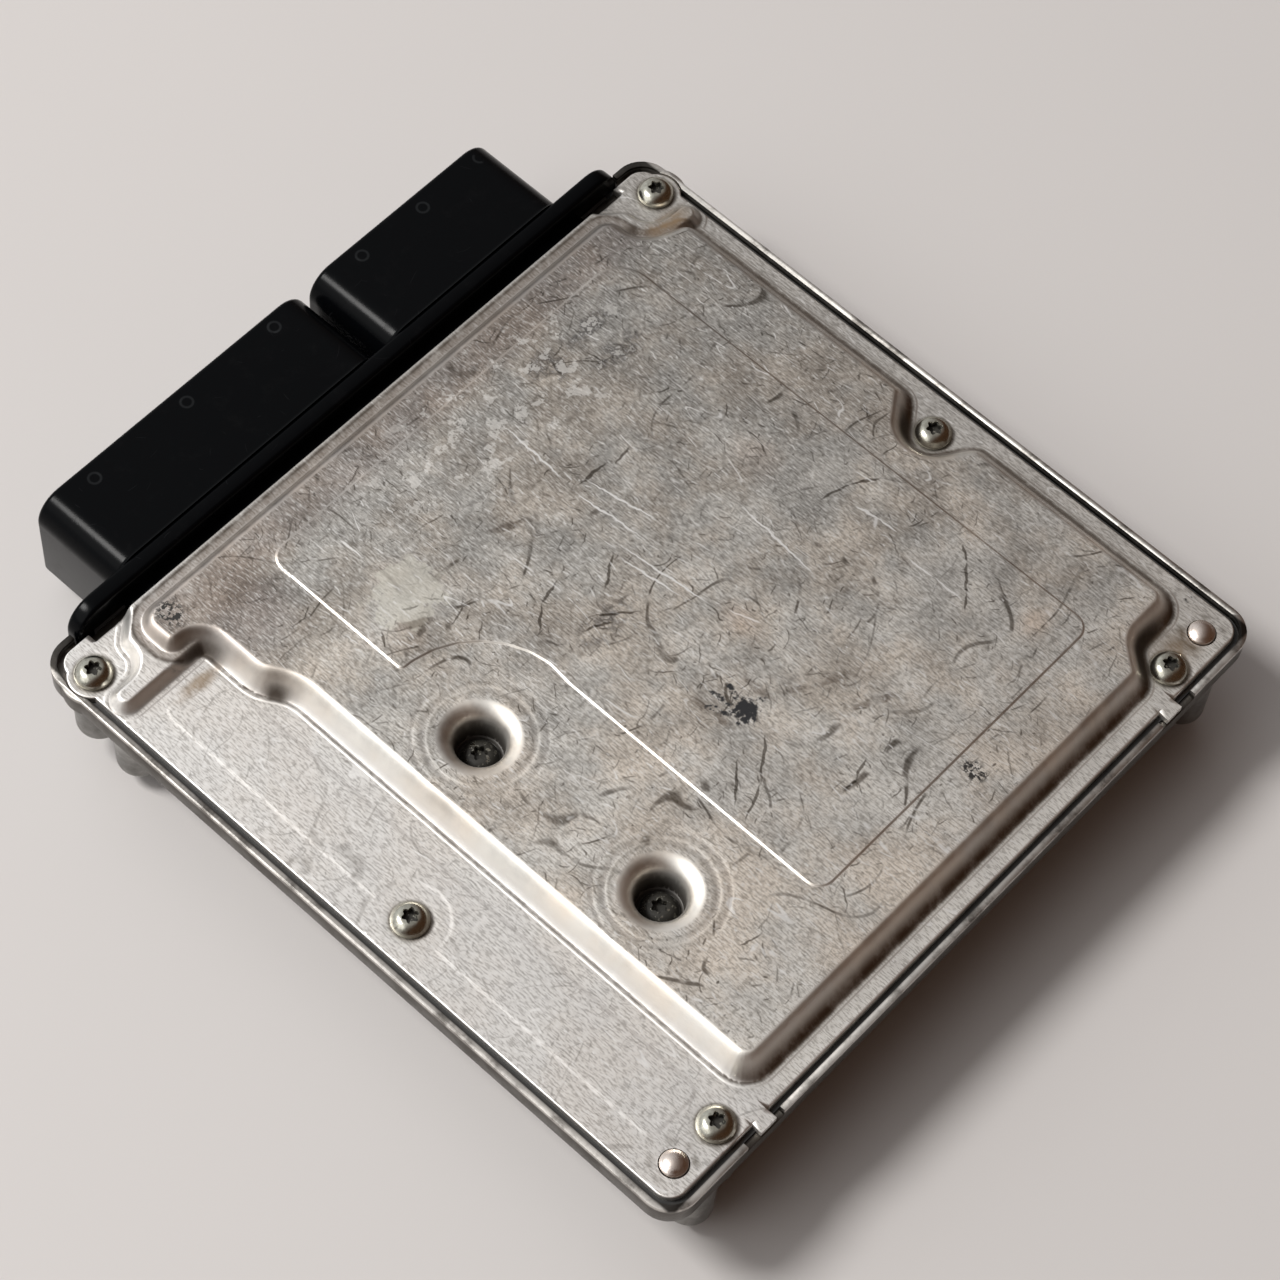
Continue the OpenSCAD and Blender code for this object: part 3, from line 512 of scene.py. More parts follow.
def build_cover():
    """Closed sheet of even thickness, with true normals on its upper face and masks for its material."""
    plan, faces = cover_plan()
    height = cover_height(plan)
    slope_x, slope_y = cover_slope(plan, (SLOPE_NUDGE, 0)), cover_slope(plan, (0, SLOPE_NUDGE))
    normals = np.column_stack((-slope_x, -slope_y, np.ones(len(plan))))
    normals /= np.linalg.norm(normals, axis=1)[:, None]

    n = len(plan)
    pairs = np.vstack((faces[:, [0, 1]], faces[:, [1, 2]], faces[:, [2, 0]]))
    both = {tuple(e) for e in pairs}
    rim = [e for e in pairs if (e[1], e[0]) not in both]
    top = np.column_stack((plan, FLANGE_Z + height))
    low = np.column_stack((plan, FLANGE_Z + height - SHEET_T))
    walls = [(i, i + n, j + n, j) for i, j in rim]
    all_faces = [tuple(f) for f in faces] + [tuple(f[::-1] + n) for f in faces] + walls
    cover = add_mesh("cover_shell", np.vstack((top, low)), all_faces)
    mesh = cover.data
    mesh.shade_smooth()
    corner_normals = [(0.0, 0.0, 0.0)] * len(mesh.loops)
    for face in mesh.polygons:
        is_top = all(v < n for v in face.vertices)
        for loop, v in zip(face.loop_indices, face.vertices):
            corner_normals[loop] = tuple(normals[v]) if is_top else tuple(face.normal)
    mesh.normals_split_custom_set(corner_normals)
    for key, values in cover_masks(plan, slope_x, slope_y).items():
        attribute = mesh.attributes.new(key, "FLOAT", "POINT")
        attribute.data.foreach_set("value", np.concatenate((values, values)).astype(np.float32))
    return cover


# Lofted mouldings

def loft(rings, closed_end=True):
    """Vertices and faces of a skin through rings of equal point count, closed at the first ring."""
    n = len(rings[0])
    vertices = [tuple(p) for r in rings for p in r]
    faces = [(k * n + i, k * n + (i + 1) % n, (k + 1) * n + (i + 1) % n, (k + 1) * n + i)
             for k in range(len(rings) - 1) for i in range(n)]
    faces.append(tuple(range(n - 1, -1, -1)))
    if closed_end:
        faces.append(tuple((len(rings) - 1) * n + i for i in range(n)))
    return vertices, faces


def joined(parts):
    """One list of vertices and one of faces from several."""
    vertices, faces = [], []
    for part_vertices, part_faces in parts:
        faces += [tuple(i + len(vertices) for i in face) for face in part_faces]
        vertices += part_vertices
    return vertices, faces


def across(corners, inset, y):
    """Ring drawn over X and Z at one Y."""
    return [(x, y, z) for x, z in ring(corners, inset, arc_steps=10, least_r=0.3)]


def rounded_slab(corners, y0, y1, r):
    """Rings of a plate over X and Z from y0 to y1 with rounded edges."""
    turns = np.linspace(0, math.pi / 2, 5)
    front = [across(corners, r * (1 - math.sin(a)), y0 + r * (1 - math.cos(a))) for a in turns]
    back = [across(corners, r * (1 - math.cos(a)), y1 - r * (1 - math.sin(a))) for a in turns]
    return front + back


def shroud_rings(x0, x1):
    """Rings of a shroud from its socket's floor over the mouth's rim, then back to a fillet at the flange."""
    corners = box_corners(x0, SHROUD_LOW_Z, x1, SHROUD_TOP_Z, SHROUD_LOW_R, SHROUD_TOP_R)
    half = SHROUD_WALL / 2
    rim_y = MOUTH_Y + half
    rings = [across(corners, SHROUD_WALL, SOCKET_FLOOR_Y), across(corners, SHROUD_WALL, rim_y)]
    for a in np.linspace(0, math.pi, 9)[1:-1]:
        rings.append(across(corners, half + half * math.cos(a), rim_y - half * math.sin(a)))
    rings.append(across(corners, 0, rim_y))
    for a in np.linspace(0, math.pi / 2, 6):
        out, back = SHROUD_FOOT_R * (1 - math.cos(a)), SHROUD_FOOT_R * (1 - math.sin(a))
        rings.append(across(corners, -out, HEADER_FRONT_Y - back))
    return rings


def build_header():
    """Flange, neck and two open shrouds."""
    flange = box_corners(-HEADER_X, HEADER_LOW_Z, HEADER_X, HEADER_TOP_Z, HEADER_R)
    neck = box_corners(-NECK_X, NECK_LOW_Z, NECK_X, NECK_TOP_Z, NECK_R)
    parts = [loft(rounded_slab(flange, HEADER_FRONT_Y, HEADER_BACK_Y, HEADER_ROUND)),
             loft(rounded_slab(neck, NECK_FRONT_Y, NECK_BACK_Y, NECK_ROUND))]
    parts += [loft(shroud_rings(*ends), closed_end=False) for ends in SHROUDS]
    header = add_mesh("header_moulding", *joined(parts))
    shade(header, 40)
    return header


# Pan head: its six-lobed socket by shares of the outline and drops below the crown, its dome by radii and drops
SCREW_SIDES = 72
SOCKET_R = 1.42
LOBE = 0.24
SOCKET_FLOOR = 1.0
CROWN = HEAD_H - 0.05
SOCKET_RIM = ((1.0, 0.35), (1.03, 0.12), (1.1, 0.0))
DOME = (
    (2.0, 0.03), (2.45, 0.16), (2.9, 0.42), (3.3, 0.78), (3.65, 1.2), (3.88, 1.6), (3.98, 1.9), (HEAD_R, 2.1),
)
SHANK_R = 1.9
SHANK_L = 6.0
# Painted shade with dirt: in the socket within this radius and this far below the crown, and this far above the
# seat
SOCKET_SHADE_R = 1.75
SHADE_AND_SOIL_H = 0.3


def turned(r, z, n=SCREW_SIDES, centre=(0, 0)):
    """Level ring about a centre; r may be one radius or one to each point."""
    return np.column_stack((circle(centre, r, n), np.full(n, z)))


def screw_rings():
    """Rings of a pan head from its socket's floor outwards, then down its side; the seat is at height 0."""
    lobed = SOCKET_R + LOBE * np.cos(6 * np.arange(SCREW_SIDES) * 2 * math.pi / SCREW_SIDES)
    rings = [turned(0.35 * lobed, SOCKET_FLOOR), turned(lobed, SOCKET_FLOOR + 0.02)]
    rings += [turned(share * lobed, CROWN - drop) for share, drop in SOCKET_RIM]
    rings += [turned(r, CROWN - drop) for r, drop in DOME]
    rings += [turned(HEAD_R, 0.12), turned(HEAD_R - 0.08, 0.0)]
    rings += [turned(SHANK_R, 0.0), turned(SHANK_R, -SHANK_L)]
    return rings


def build_screws(name, places, seat_z, turns, soil_and_shade):
    """Pan heads at several places, turned by degrees; the last argument is how dark they are painted outside
    their sockets: dirt, and painted shade for heads deep in the wells.
    """
    parts, shaded_and_soiled = [], []
    for (x, y), degrees in zip(places, turns):
        vertices, faces = loft(screw_rings())
        c, s = math.cos(math.radians(degrees)), math.sin(math.radians(degrees))
        placed = [(x + c * px - s * py, y + s * px + c * py, seat_z + pz) for px, py, pz in vertices]
        parts.append((placed, [face[::-1] for face in faces]))
        for px, py, pz in vertices:
            # Painted shade with dirt in the socket and round the head's foot
            in_socket = math.hypot(px, py) < SOCKET_SHADE_R and pz < HEAD_H - SHADE_AND_SOIL_H
            shaded_and_soiled.append(1.0 if in_socket or pz < SHADE_AND_SOIL_H else soil_and_shade)
    screws = add_mesh(name, *joined(parts))
    screws.data.attributes.new("soil_and_shade", "FLOAT", "POINT").data.foreach_set("value", shaded_and_soiled)
    shade(screws, 38)
    return screws


# Locating pegs: radii and heights of the rim, then the radii of the dome's rings
PEG_RIM = ((2.84, 25.6), (2.84, 27.3), (2.78, 27.48), (2.62, 27.62), (2.4, 27.72), (2.2, 27.86), (1.95, 28.06))
PEG_DOME_RS = (1.6, 1.2, 0.8, 0.4, 0.1)
PEG_TOP_Z = 28.46
PEG_DOME = 0.105
PEG_SIDES = 48


def build_pegs():
    """Smooth domed ends of the two locating pegs, with a turned-down rim."""
    profile = [*PEG_RIM, *((r, PEG_TOP_Z - PEG_DOME * r * r) for r in PEG_DOME_RS)]
    parts = [loft([turned(r, z, PEG_SIDES, centre) for r, z in profile]) for centre in PEGS]
    pegs = add_mesh("peg_ends", *joined(parts))
    shade(pegs, 60)
    return pegs


# Base casting: how its solid is cleaned, and which of its edges are rounded
WELD = 0.002
FLAT_DEGREES = 0.6
SHARP_DEGREES = 32
CASTING_ROUND = 0.3
CASTING_LEAST_EDGE = 0.8


def softened(node, name, width, least_length):
    """Copy of a solid whose long sharp edges are rounded off."""
    form = bmesh.new()
    form.from_mesh(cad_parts[node].data)
    bmesh.ops.remove_doubles(form, verts=form.verts, dist=WELD * MM)
    bmesh.ops.dissolve_limit(form, angle_limit=math.radians(FLAT_DEGREES), verts=form.verts, edges=form.edges)
    sharp = [e for e in form.edges if e.is_manifold and e.calc_face_angle() > math.radians(SHARP_DEGREES)
             and e.calc_length() > least_length * MM]
    bmesh.ops.bevel(form, geom=sharp, offset=width * MM, segments=2, profile=0.5, affect="EDGES",
                    clamp_overlap=True)
    mesh = bpy.data.meshes.new(name)
    form.to_mesh(mesh)
    form.free()
    thing = linked(name, mesh)
    shade(thing, 38)
    return thing


# Shader nodes, and the sockets of a colour mix by number, since several share a name

MIX_A = 6
MIX_B = 7
MIX_RESULT = 2


def math_method(operation):
    return lambda field, other: field.op(operation, other)


class Field:
    """A number that varies over the surface. Arithmetic on it adds Math nodes to its material."""

    def __init__(self, tree, socket):
        self.tree, self.socket = tree, socket

    def op(self, operation, *others):
        node = new_node(self.tree, "Math", operation=operation)
        for socket, value in zip(node.inputs, (self, *others)):
            plug(value, socket)
        return Field(self.tree, node.outputs[0])

    __add__, __sub__ = math_method("ADD"), math_method("SUBTRACT")
    __mul__, __truediv__ = math_method("MULTIPLY"), math_method("DIVIDE")
    most = math_method("MAXIMUM")

    def __abs__(self):
        return self.op("ABSOLUTE")

    def off(self):
        """One minus this."""
        return self.op("MULTIPLY_ADD", -1.0, 1.0)

    def step(self, low, high):
        """Smooth rise from 0 at low to 1 at high; high may be the smaller."""
        node = new_node(self.tree, "MapRange", interpolation_type="SMOOTHSTEP")
        flip = high < low
        for name, value in zip(("Value", "From Min", "From Max", "To Min", "To Max"),
                               (self, min(low, high), max(low, high), float(flip), float(not flip))):
            plug(value, node.inputs[name])
        return Field(self.tree, node.outputs["Result"])


def new_node(tree, kind, **settings):
    """New shader node with its settings."""
    node = tree.nodes.new("ShaderNode" + kind)
    for name, value in settings.items():
        setattr(node, name, value)
    return node


def plug(value, socket):
    """Links a field to a socket, or sets the socket to a constant."""
    if isinstance(value, Field):
        value.tree.links.new(value.socket, socket)
    else:
        socket.default_value = value


def blended(tree, share, first, second, blend="MIX"):
    """Colour between two colours or earlier mixes."""
    node = new_node(tree, "Mix", data_type="RGBA", blend_type=blend)
    plug(share, node.inputs["Factor"])
    for value, socket in ((first, node.inputs[MIX_A]), (second, node.inputs[MIX_B])):
        plug(value if isinstance(value, Field) else (*value, 1.0), socket)
    return Field(tree, node.outputs[MIX_RESULT])


class Paint:
    """A material under way. Its x, y and z are places in millimetres, and its marks follow u and v."""

    def __init__(self, name, flat=False):
        self.flat = flat
        self.material = bpy.data.materials.new(name)
        self.material.use_nodes = True
        self.tree = self.material.node_tree
        self.shader = self.tree.nodes["Principled BSDF"]
        coordinates = new_node(self.tree, "TexCoord")
        scale = new_node(self.tree, "VectorMath", operation="SCALE")
        plug(Field(self.tree, coordinates.outputs["Object"]), scale.inputs[0])
        plug(1 / MM, scale.inputs["Scale"])
        self.place = Field(self.tree, scale.outputs[0])
        self.x, self.y, self.z = self.parts("XYZ", self.place)
        self.u, self.v = self.x, self.y

    def parts(self, kind, whole):
        """The three fields of a vector or colour."""
        node = new_node(self.tree, "Separate" + kind)
        plug(whole, node.inputs[0])
        return [Field(self.tree, socket) for socket in node.outputs[:3]]

    def vector(self, *values):
        node = new_node(self.tree, "CombineXYZ")
        for value, socket in zip(values, node.inputs):
            plug(value, socket)
        return Field(self.tree, node.outputs[0])

    def waver(self, size, reach):
        """Makes the plan place of marks stray from the true one, so that their edges are unsteady."""
        self.u = self.x + (self.noise(size, 3, shift=50.0) - 0.5) * reach
        self.v = self.y + (self.noise(size, 3, shift=70.0) - 0.5) * reach

    def mask(self, name):
        """Field kept on the mesh under this name."""
        return Field(self.tree, new_node(self.tree, "Attribute", attribute_name=name).outputs["Fac"])

    def noise(self, size, detail=3.0, roughness=0.55, stretch=(1, 1, 1), shift=0.0):
        """Noise from 0 to 1 whose grain is about size millimetres, drawn out along each axis by stretch."""
        move = new_node(self.tree, "VectorMath", operation="MULTIPLY_ADD")
        plug(self.place, move.inputs[0])
        plug([1 / (size * s) for s in stretch], move.inputs[1])
        plug((shift, 1.7 * shift, 0.6 * shift), move.inputs[2])
        node = new_node(self.tree, "TexNoise", noise_dimensions="2D" if self.flat else "3D")
        plug(Field(self.tree, move.outputs[0]), node.inputs["Vector"])
        for name, value in (("Scale", 1.0), ("Detail", detail), ("Roughness", roughness)):
            plug(value, node.inputs[name])
        return Field(self.tree, node.outputs["Fac"])

    def hairs(self, size, width, shift, stretch, low, high):
        """Mask of thin winding scratches: a level line of a noise, kept where a second noise is high."""
        winding = self.noise(size, 1.0, 0.3, stretch, shift)
        kept = self.noise(size * 0.3, 2, 0.5, shift=shift + 31.0).step(low, high)
        return abs(winding - 0.5).step(width, 0.3 * width) * kept

    def cells(self, size, shift):
        """Offsets in millimetres from the middle of a random cell, and three numbers of that cell's own."""
        u, v = self.u / size + shift, self.v / size + 1.7 * shift
        node = new_node(self.tree, "TexVoronoi", voronoi_dimensions="2D")
        plug(1.0, node.inputs["Scale"])
        plug(self.vector(u, v), node.inputs["Vector"])
        middle = self.parts("XYZ", Field(self.tree, node.outputs["Position"]))
        own = self.parts("Color", Field(self.tree, node.outputs["Color"]))
        return (u - middle[0]) * size, (v - middle[1]) * size, own

    def scuffs(self, cell, length, width, bend, shift, lean, spread, share):
        """Mask of curved scratches, one to a cell at most: lean is their middle angle and spread its range."""
        dx, dy, (one, two, three) = self.cells(cell, shift)
        angle = (one - 0.5) * spread + lean
        c, s = angle.op("COSINE"), angle.op("SINE")
        along = dx * c + dy * s
        aside = dy * c - dx * s + (two - 0.5) * (8 * bend / length ** 2) * (along * along)
        half = (three * three * 0.8 + 0.2) * (length / 2)
        body = abs(aside).step(width, width * 0.3)
        ends = (abs(along) / half).step(1.0, 0.4)
        chosen = (one + two).op("FRACT").step(share, share - 0.02)
        return body * ends * chosen * (two * 0.7 + 0.3)

    def strokes(self, paths, width):
        """Mask of scratches along several chains of places, each stretch a thin oval."""
        here = self.vector(self.u, self.v, 1.0)

        def weighed(a, b, c):
            """Sum a u + b v + c."""
            node = new_node(self.tree, "VectorMath", operation="DOT_PRODUCT")
            plug(here, node.inputs[0])
            plug((a, b, c), node.inputs[1])
            return Field(self.tree, node.outputs["Value"])

        least = None
        for path in paths:
            for (x0, y0), (x1, y1) in zip(path, path[1:]):
                half = 0.58 * math.hypot(x1 - x0, y1 - y0)
                turn = math.atan2(y1 - y0, x1 - x0)
                c, s = math.cos(turn), math.sin(turn)
                x, y = (x0 + x1) / 2, (y0 + y1) / 2
                along = weighed(c / half, s / half, -(c * x + s * y) / half)
                aside = weighed(-s / width, c / width, (s * x - c * y) / width)
                oval = along.op("MULTIPLY_ADD", along, aside * aside)
                least = oval if least is None else least.op("MINIMUM", oval)
        return least.step(1.0, 0.3)

    def blob(self, x, y, rx, ry, soft):
        """Mask of an oval spot."""
        dx, dy = (self.u - x) / rx, (self.v - y) / ry
        return (dx * dx + dy * dy).op("SQRT").step(1.0, 1.0 - soft)

    def spots(self, places):
        """Mask of several oval spots."""
        first, *others = (self.blob(*place) for place in places)
        for other in others:
            first = first.most(other)
        return first

    def mix(self, share, first, second):
        """Colour between two colours or earlier mixes."""
        return blended(self.tree, share, first, second)

    def tint(self, share, tone, colour):
        """The tone multiplied by a colour where share is high."""
        return blended(self.tree, share, tone, colour, "MULTIPLY")

    def bump(self, height, distance):
        """Bends the shading normal by a height of the given size in millimetres."""
        node = new_node(self.tree, "Bump")
        plug(distance * MM, node.inputs["Distance"])
        plug(height, node.inputs["Height"])
        plug(Field(self.tree, node.outputs["Normal"]), self.shader.inputs["Normal"])

    def set(self, **values):
        """Sets sockets of the shader, named with underscores for spaces, and gives the material."""
        for name, value in values.items():
            plug(value, self.shader.inputs[name.replace("_", " ")])
        return self.material


def two_tone(name, light, dark, size, roughness, metallic=0.0):
    """Material whose colour and roughness wander between two tones."""
    p = Paint(name)
    wander = p.noise(size, 4).step(0.3, 0.7)
    p.bump(p.noise(size * 0.12, 3), 0.02)
    return p.set(Base_Color=p.mix(wander, light, dark), Roughness=wander * 0.12 + roughness, Metallic=metallic)


# Colours of the cover's layers; a tint multiplies the tone under it
SHEET_GREY, SHEET_PALE = (0.47, 0.458, 0.433), (0.88, 0.855, 0.805)
SHELF_GREY, SHELF_PALE = (0.82, 0.805, 0.78), (0.90, 0.885, 0.86)
FLANGE_TONE = (0.80, 0.775, 0.735)
# Painted highlight: a pale tone along the rear flange's edge
REAR_EDGE_HIGHLIGHT = (1.0, 0.98, 0.93)
WARM_TINT = (1.03, 0.955, 0.885)
FRONT_TINT = (0.74, 0.69, 0.68)
CORNER_TINT = (0.72, 0.70, 0.69)
SPECK_TINT = (0.58, 0.56, 0.54)
GRAIN_TINT = (0.55, 0.54, 0.53)
GRAIN_SHINE = (0.97, 0.96, 0.94)
SCRAPE_TONE = (0.82, 0.80, 0.71)
SCRAPE_STAIN_TINT = (0.76, 0.68, 0.62)
SCATTERED_TINT = (0.27, 0.25, 0.23)
MARK_TINT = (0.25, 0.23, 0.21)
SMEAR_TINT = (0.42, 0.38, 0.35)
BRIGHT_TONE = (1.0, 0.99, 0.97)
BLOTCH_TINT = (0.40, 0.40, 0.41)
FLAKE_TONE = (0.92, 0.90, 0.86)
STAIN_TINT = (0.95, 0.80, 0.70)
# Painted shade with some dirt, down the walls
WALL_SHADE_AND_DIRT = (0.15, 0.095, 0.06)
# Painted shade with dirt at the walls' feet and in corners
FOOT_SHADE_AND_DIRT = (0.045, 0.031, 0.02)
# Painted contact shade with dirt round screw heads and pegs
RING_SHADE_AND_DIRT = (0.22, 0.19, 0.15)
RUST_TONE = (0.30, 0.205, 0.115)
PIT_TONE = (0.02, 0.018, 0.016)
SMUDGE_TONE = (0.012, 0.012, 0.014)
# Painted shade inside the screw wells
WELL_SHADE = (0.018, 0.014, 0.01)

# Where the cover's tone changes: ranges along X or Y
SHELF_FADE_X = (48, 60)
FRONT_FADE_Y = (-64, -72)
# The rear range places the painted highlight along the rear flange's edge
REAR_HIGHLIGHT_FADE_Y = (76.5, 79)

# Spots on the cover: middle, half width, half depth and softness
FRONT_CORNER = (55, -64, 17, 18, 0.7)
DULL_CORNER = (52, -65, 13, 11, 0.8)
SCRAPE = (28.5, -43.5, 15, 14, 1.0)
SCRAPE_STAIN = (35, -36, 9, 6, 0.8)
FLAKES = (-18, -59, 50, 20, 0.5)
BLOTCHES = [(-45, -53, 9, 4, 0.5), (-44, -61, 8, 4, 0.5), (-31, -60, 6, 6, 0.5), (6, -10, 9, 5, 0.5)]
STAINS = [(-55, 52, 7, 5, 0.9), (-14, 9, 5, 8, 0.9), (-45, -15, 8, 9, 0.9)]
# Corner spots of painted shade with dirt, kept near the plateau's feet
CORNER_SHADE_AND_DIRT = [(-69, 73, 11, 9, 0.6), (66, -63.5, 7, 6, 0.7), (61.8, -47, 4, 4, 0.8), (-75, 3, 5, 8, 0.7)]
WORN_CORNER_SHADE_AND_DIRT = (-72, -72, 7, 5, 0.8)
RUST = [(-73, 76, 9, 6, 0.9), (70, -60.5, 8, 2.4, 0.8), (-78, -69, 9, 5, 0.9)]
PITS = [(64.5, -74, 4, 5, 0.6), (-20.5, 65, 3, 4.2, 0.5), (-84.4, 70, 1.2, 1.4, 0.5)]
SMUDGE = (0.8, 23.6, 6.0, 5.6, 1.0)
SMUDGE_REACH = (1.2, 21.5, 9, 9, 0.4)

# Marks on the cover: chains of plan places
BRIGHT_MARKS = [
    [(-16.4, -36.2), (-19.7, -18.4)], [(-12.8, -35.7), (-14.3, -18.1)], [(-9.8, -20.6), (-12.4, 2.2)],
    [(-7.7, -18.4), (-9.6, -3.7)], [(-13.8, 5.6), (-16.4, 12.3)], [(-50.6, 7.7), (-51.5, 13.4), (-51.9, 17.9)],
    [(-48.5, 24.4), (-49.0, 30.6), (-48.7, 38.1)], [(28.8, -61.9), (28.6, -55.9)],
    [(-34.2, -9.4), (-32.4, 12.7)], [(-14.3, -57.1), (-13.3, -39.0)],
]
DARK_MARKS = [
    [(-28.8, -35.0), (-23.5, -34.4)], [(-22.6, -35.8), (-14.3, -36.2)],
    [(16.5, -18.1), (11.2, -22.3), (5.0, -23.7)], [(-7.7, -20.1), (-0.1, -15.5)],
    [(1.9, 29.9), (10.9, 36.6), (19.4, 39.9)], [(10.0, 29.6), (18.3, 36.3)],
    [(-7.7, 47.8), (-2.8, 49.5), (0.4, 49.4)], [(-46.6, 1.6), (-53.7, 3.6), (-59.3, 7.2)],
    [(-59.1, 29.4), (-56.5, 32.9), (-50.7, 37.5), (-47.5, 40.2)], [(10, -12), (4, -9)], [(6, -13), (-1.2, -7)],
    [(38.2, -40.7), (40.4, -37.7)],
]
SMUDGE_STREAKS = [
    [(2.7, 15.0), (1.2, 23.0)], [(-1.4, 15.9), (0.6, 22.0)], [(6.3, 16.2), (2.0, 23.5)],
    [(5.9, 19.8), (1.2, 24.0)], [(5.4, 25.0), (0.8, 24.2)], [(-5.1, 24.7), (0.4, 24.0)],
]
SMEARS = [
    [(7.6, -42.2), (-2.5, -36.9)], [(-7.1, 26.1), (-12.5, 29.4)], [(-13.8, 30.4), (-21.5, 32.7)],
    [(-13.7, 38.4), (-23.3, 42.8)], [(-4.7, 17.5), (-4.6, 26.5)], [(6.1, 12.0), (5.6, 25.7)],
    [(36.1, -39.2), (27.8, -34.7)],
]

# Scattered scratches: cell, length, width, bend, shift, lean, spread and share
DARK_SCUFFS = [
    (5.2, 6.5, 0.24, 0.9, 7.1, 0.3, 2.8, 0.85),
    (3.1, 3.4, 0.22, 0.6, 12.9, 0.0, math.tau, 0.7),
    (7.5, 11, 0.25, 2.0, 31.3, 0.2, 3.4, 0.9),
]
BRIGHT_SCUFFS = [
    (3.6, 3.6, 0.22, 0.2, 21.7, 1.6, 0.7, 0.5),
    (5.2, 4.6, 0.23, 0.1, 47.9, 1.66, 0.35, 0.8),
]
HEADER_SCUFFS = (6, 5, 0.07, 0.8, 3.3, 0.0, math.tau, 0.4)

# Winding scratches: size, width, shift, stretch and the range of the noise that keeps them
DARK_HAIRS = (26, 0.0075, 3.0, (1.5, 1, 1), 0.5, 0.62)
FAINT_HAIRS = (16, 0.008, 13.0, (1.2, 1, 1), 0.52, 0.62)
WIDE_HAIRS = (34, 0.007, 23.0, (1.3, 1, 1), 0.48, 0.6)
BRIGHT_HAIRS = (18, 0.009, 41.0, (0.4, 2.5, 1), 0.54, 0.63)


class CoverPaint(Paint):
    """The cover's paint, with what its layers share."""

    def __init__(self):
        super().__init__("pressed_aluminium", flat=True)
        self.waver(size=3.0, reach=1.2)
        self.raised = self.mask("raised")
        self.level = self.mask("steep").off()
        self.patch = self.noise(12, 5, 0.62)
        self.fine = self.noise(1.1, 3, 0.7, shift=9.0)
        self.grain = self.noise(0.36, 2, 0.6, stretch=(1, 5, 1), shift=2.0)
        self.grime = self.noise(5, 4, 0.7, shift=17.0)
        self.worn = self.grime.step(0.25, 0.6)
        self.shelf = self.raised.off() * self.x.step(*SHELF_FADE_X)
        self.front = self.y.step(*FRONT_FADE_Y).most(self.blob(*FRONT_CORNER)) * self.raised


def bare_sheet(p):
    """Bare sheet: paler towards +X and +Y, painted light together with grime, and paler on the shelf, with
    specks, brushed grain and a painted highlight along the rear flange.
    """
    # Painted light mixed with grime: the sheet is darker towards -X and -Y
    light_and_grime_fade = p.x.op("MULTIPLY_ADD", 0.0044, p.y * 0.0081) + (p.patch - 0.5) * 2.4
    tone = p.mix(light_and_grime_fade.step(-1.0, 0.95), SHEET_GREY, SHEET_PALE)
    tone = p.mix(p.shelf * 0.95, tone, p.mix(p.patch.step(0.3, 0.7), SHELF_PALE, SHELF_GREY))
    warm = p.noise(20, 4, 0.6, shift=4.0).step(0.36, 0.66)
    tone = p.tint(warm * (p.raised * 0.55 + 0.25), tone, WARM_TINT)
    flange = p.raised.off() * p.shelf.off()
    tone = p.mix(flange * 0.5, tone, FLANGE_TONE)
    # Painted highlight along the rear flange's edge
    tone = p.mix(flange * p.y.step(*REAR_HIGHLIGHT_FADE_Y) * 0.6, tone, REAR_EDGE_HIGHLIGHT)
    tone = p.tint(p.front * 0.8, tone, FRONT_TINT)
    tone = p.tint(p.blob(*DULL_CORNER) * p.raised * 0.9, tone, CORNER_TINT)
    specks = p.fine.step(0.42, 0.66) * (p.raised * 0.4 + 0.15) * p.level
    tone = p.tint(specks, tone, SPECK_TINT)
    tone = p.tint(p.grain.step(0.47, 0.64) * p.level * 0.7, tone, GRAIN_TINT)
    return p.mix(p.grain.step(0.43, 0.3) * p.level * 0.45, tone, GRAIN_SHINE)


def scraped(p, tone):
    """Pale ragged patch with a brown stain beside it."""
    scrape = (p.blob(*SCRAPE) + (p.grime - 0.5) * 1.3).step(0.42, 0.56)
    tone = p.tint(p.blob(*SCRAPE_STAIN) * 0.5, tone, SCRAPE_STAIN_TINT)
    return p.mix(scrape * 0.5, tone, SCRAPE_TONE)


def scratched(p, tone):
    """Dark and bright scratches: scattered ones and those at chosen places."""
    dark = p.hairs(*DARK_HAIRS).most(p.hairs(*FAINT_HAIRS) * 0.8).most(p.hairs(*WIDE_HAIRS))
    for scuff in DARK_SCUFFS:
        dark = dark.most(p.scuffs(*scuff))
    busy = p.noise(20, 3, 0.5, shift=61.0).step(0.3, 0.62)
    dark = dark * (p.raised * (busy * 0.65 + 0.35) + p.shelf * 0.35) * p.level
    bright = p.hairs(*BRIGHT_HAIRS)
    for scuff in BRIGHT_SCUFFS:
        bright = bright.most(p.scuffs(*scuff))
    bright = bright * p.level * (p.front * -0.5 + 0.7)
    smear = p.strokes(SMEARS, width=1.2) * p.grime.step(0.3, 0.6)
    tone = p.tint(dark * 0.95, tone, SCATTERED_TINT)
    tone = p.tint(p.strokes(DARK_MARKS, width=0.38) * 0.9, tone, MARK_TINT)
    tone = p.tint(smear * 0.7, tone, SMEAR_TINT)
    tone = p.mix(bright, tone, BRIGHT_TONE)
    return p.mix(p.strokes(BRIGHT_MARKS, width=0.3) * 0.9, tone, BRIGHT_TONE)


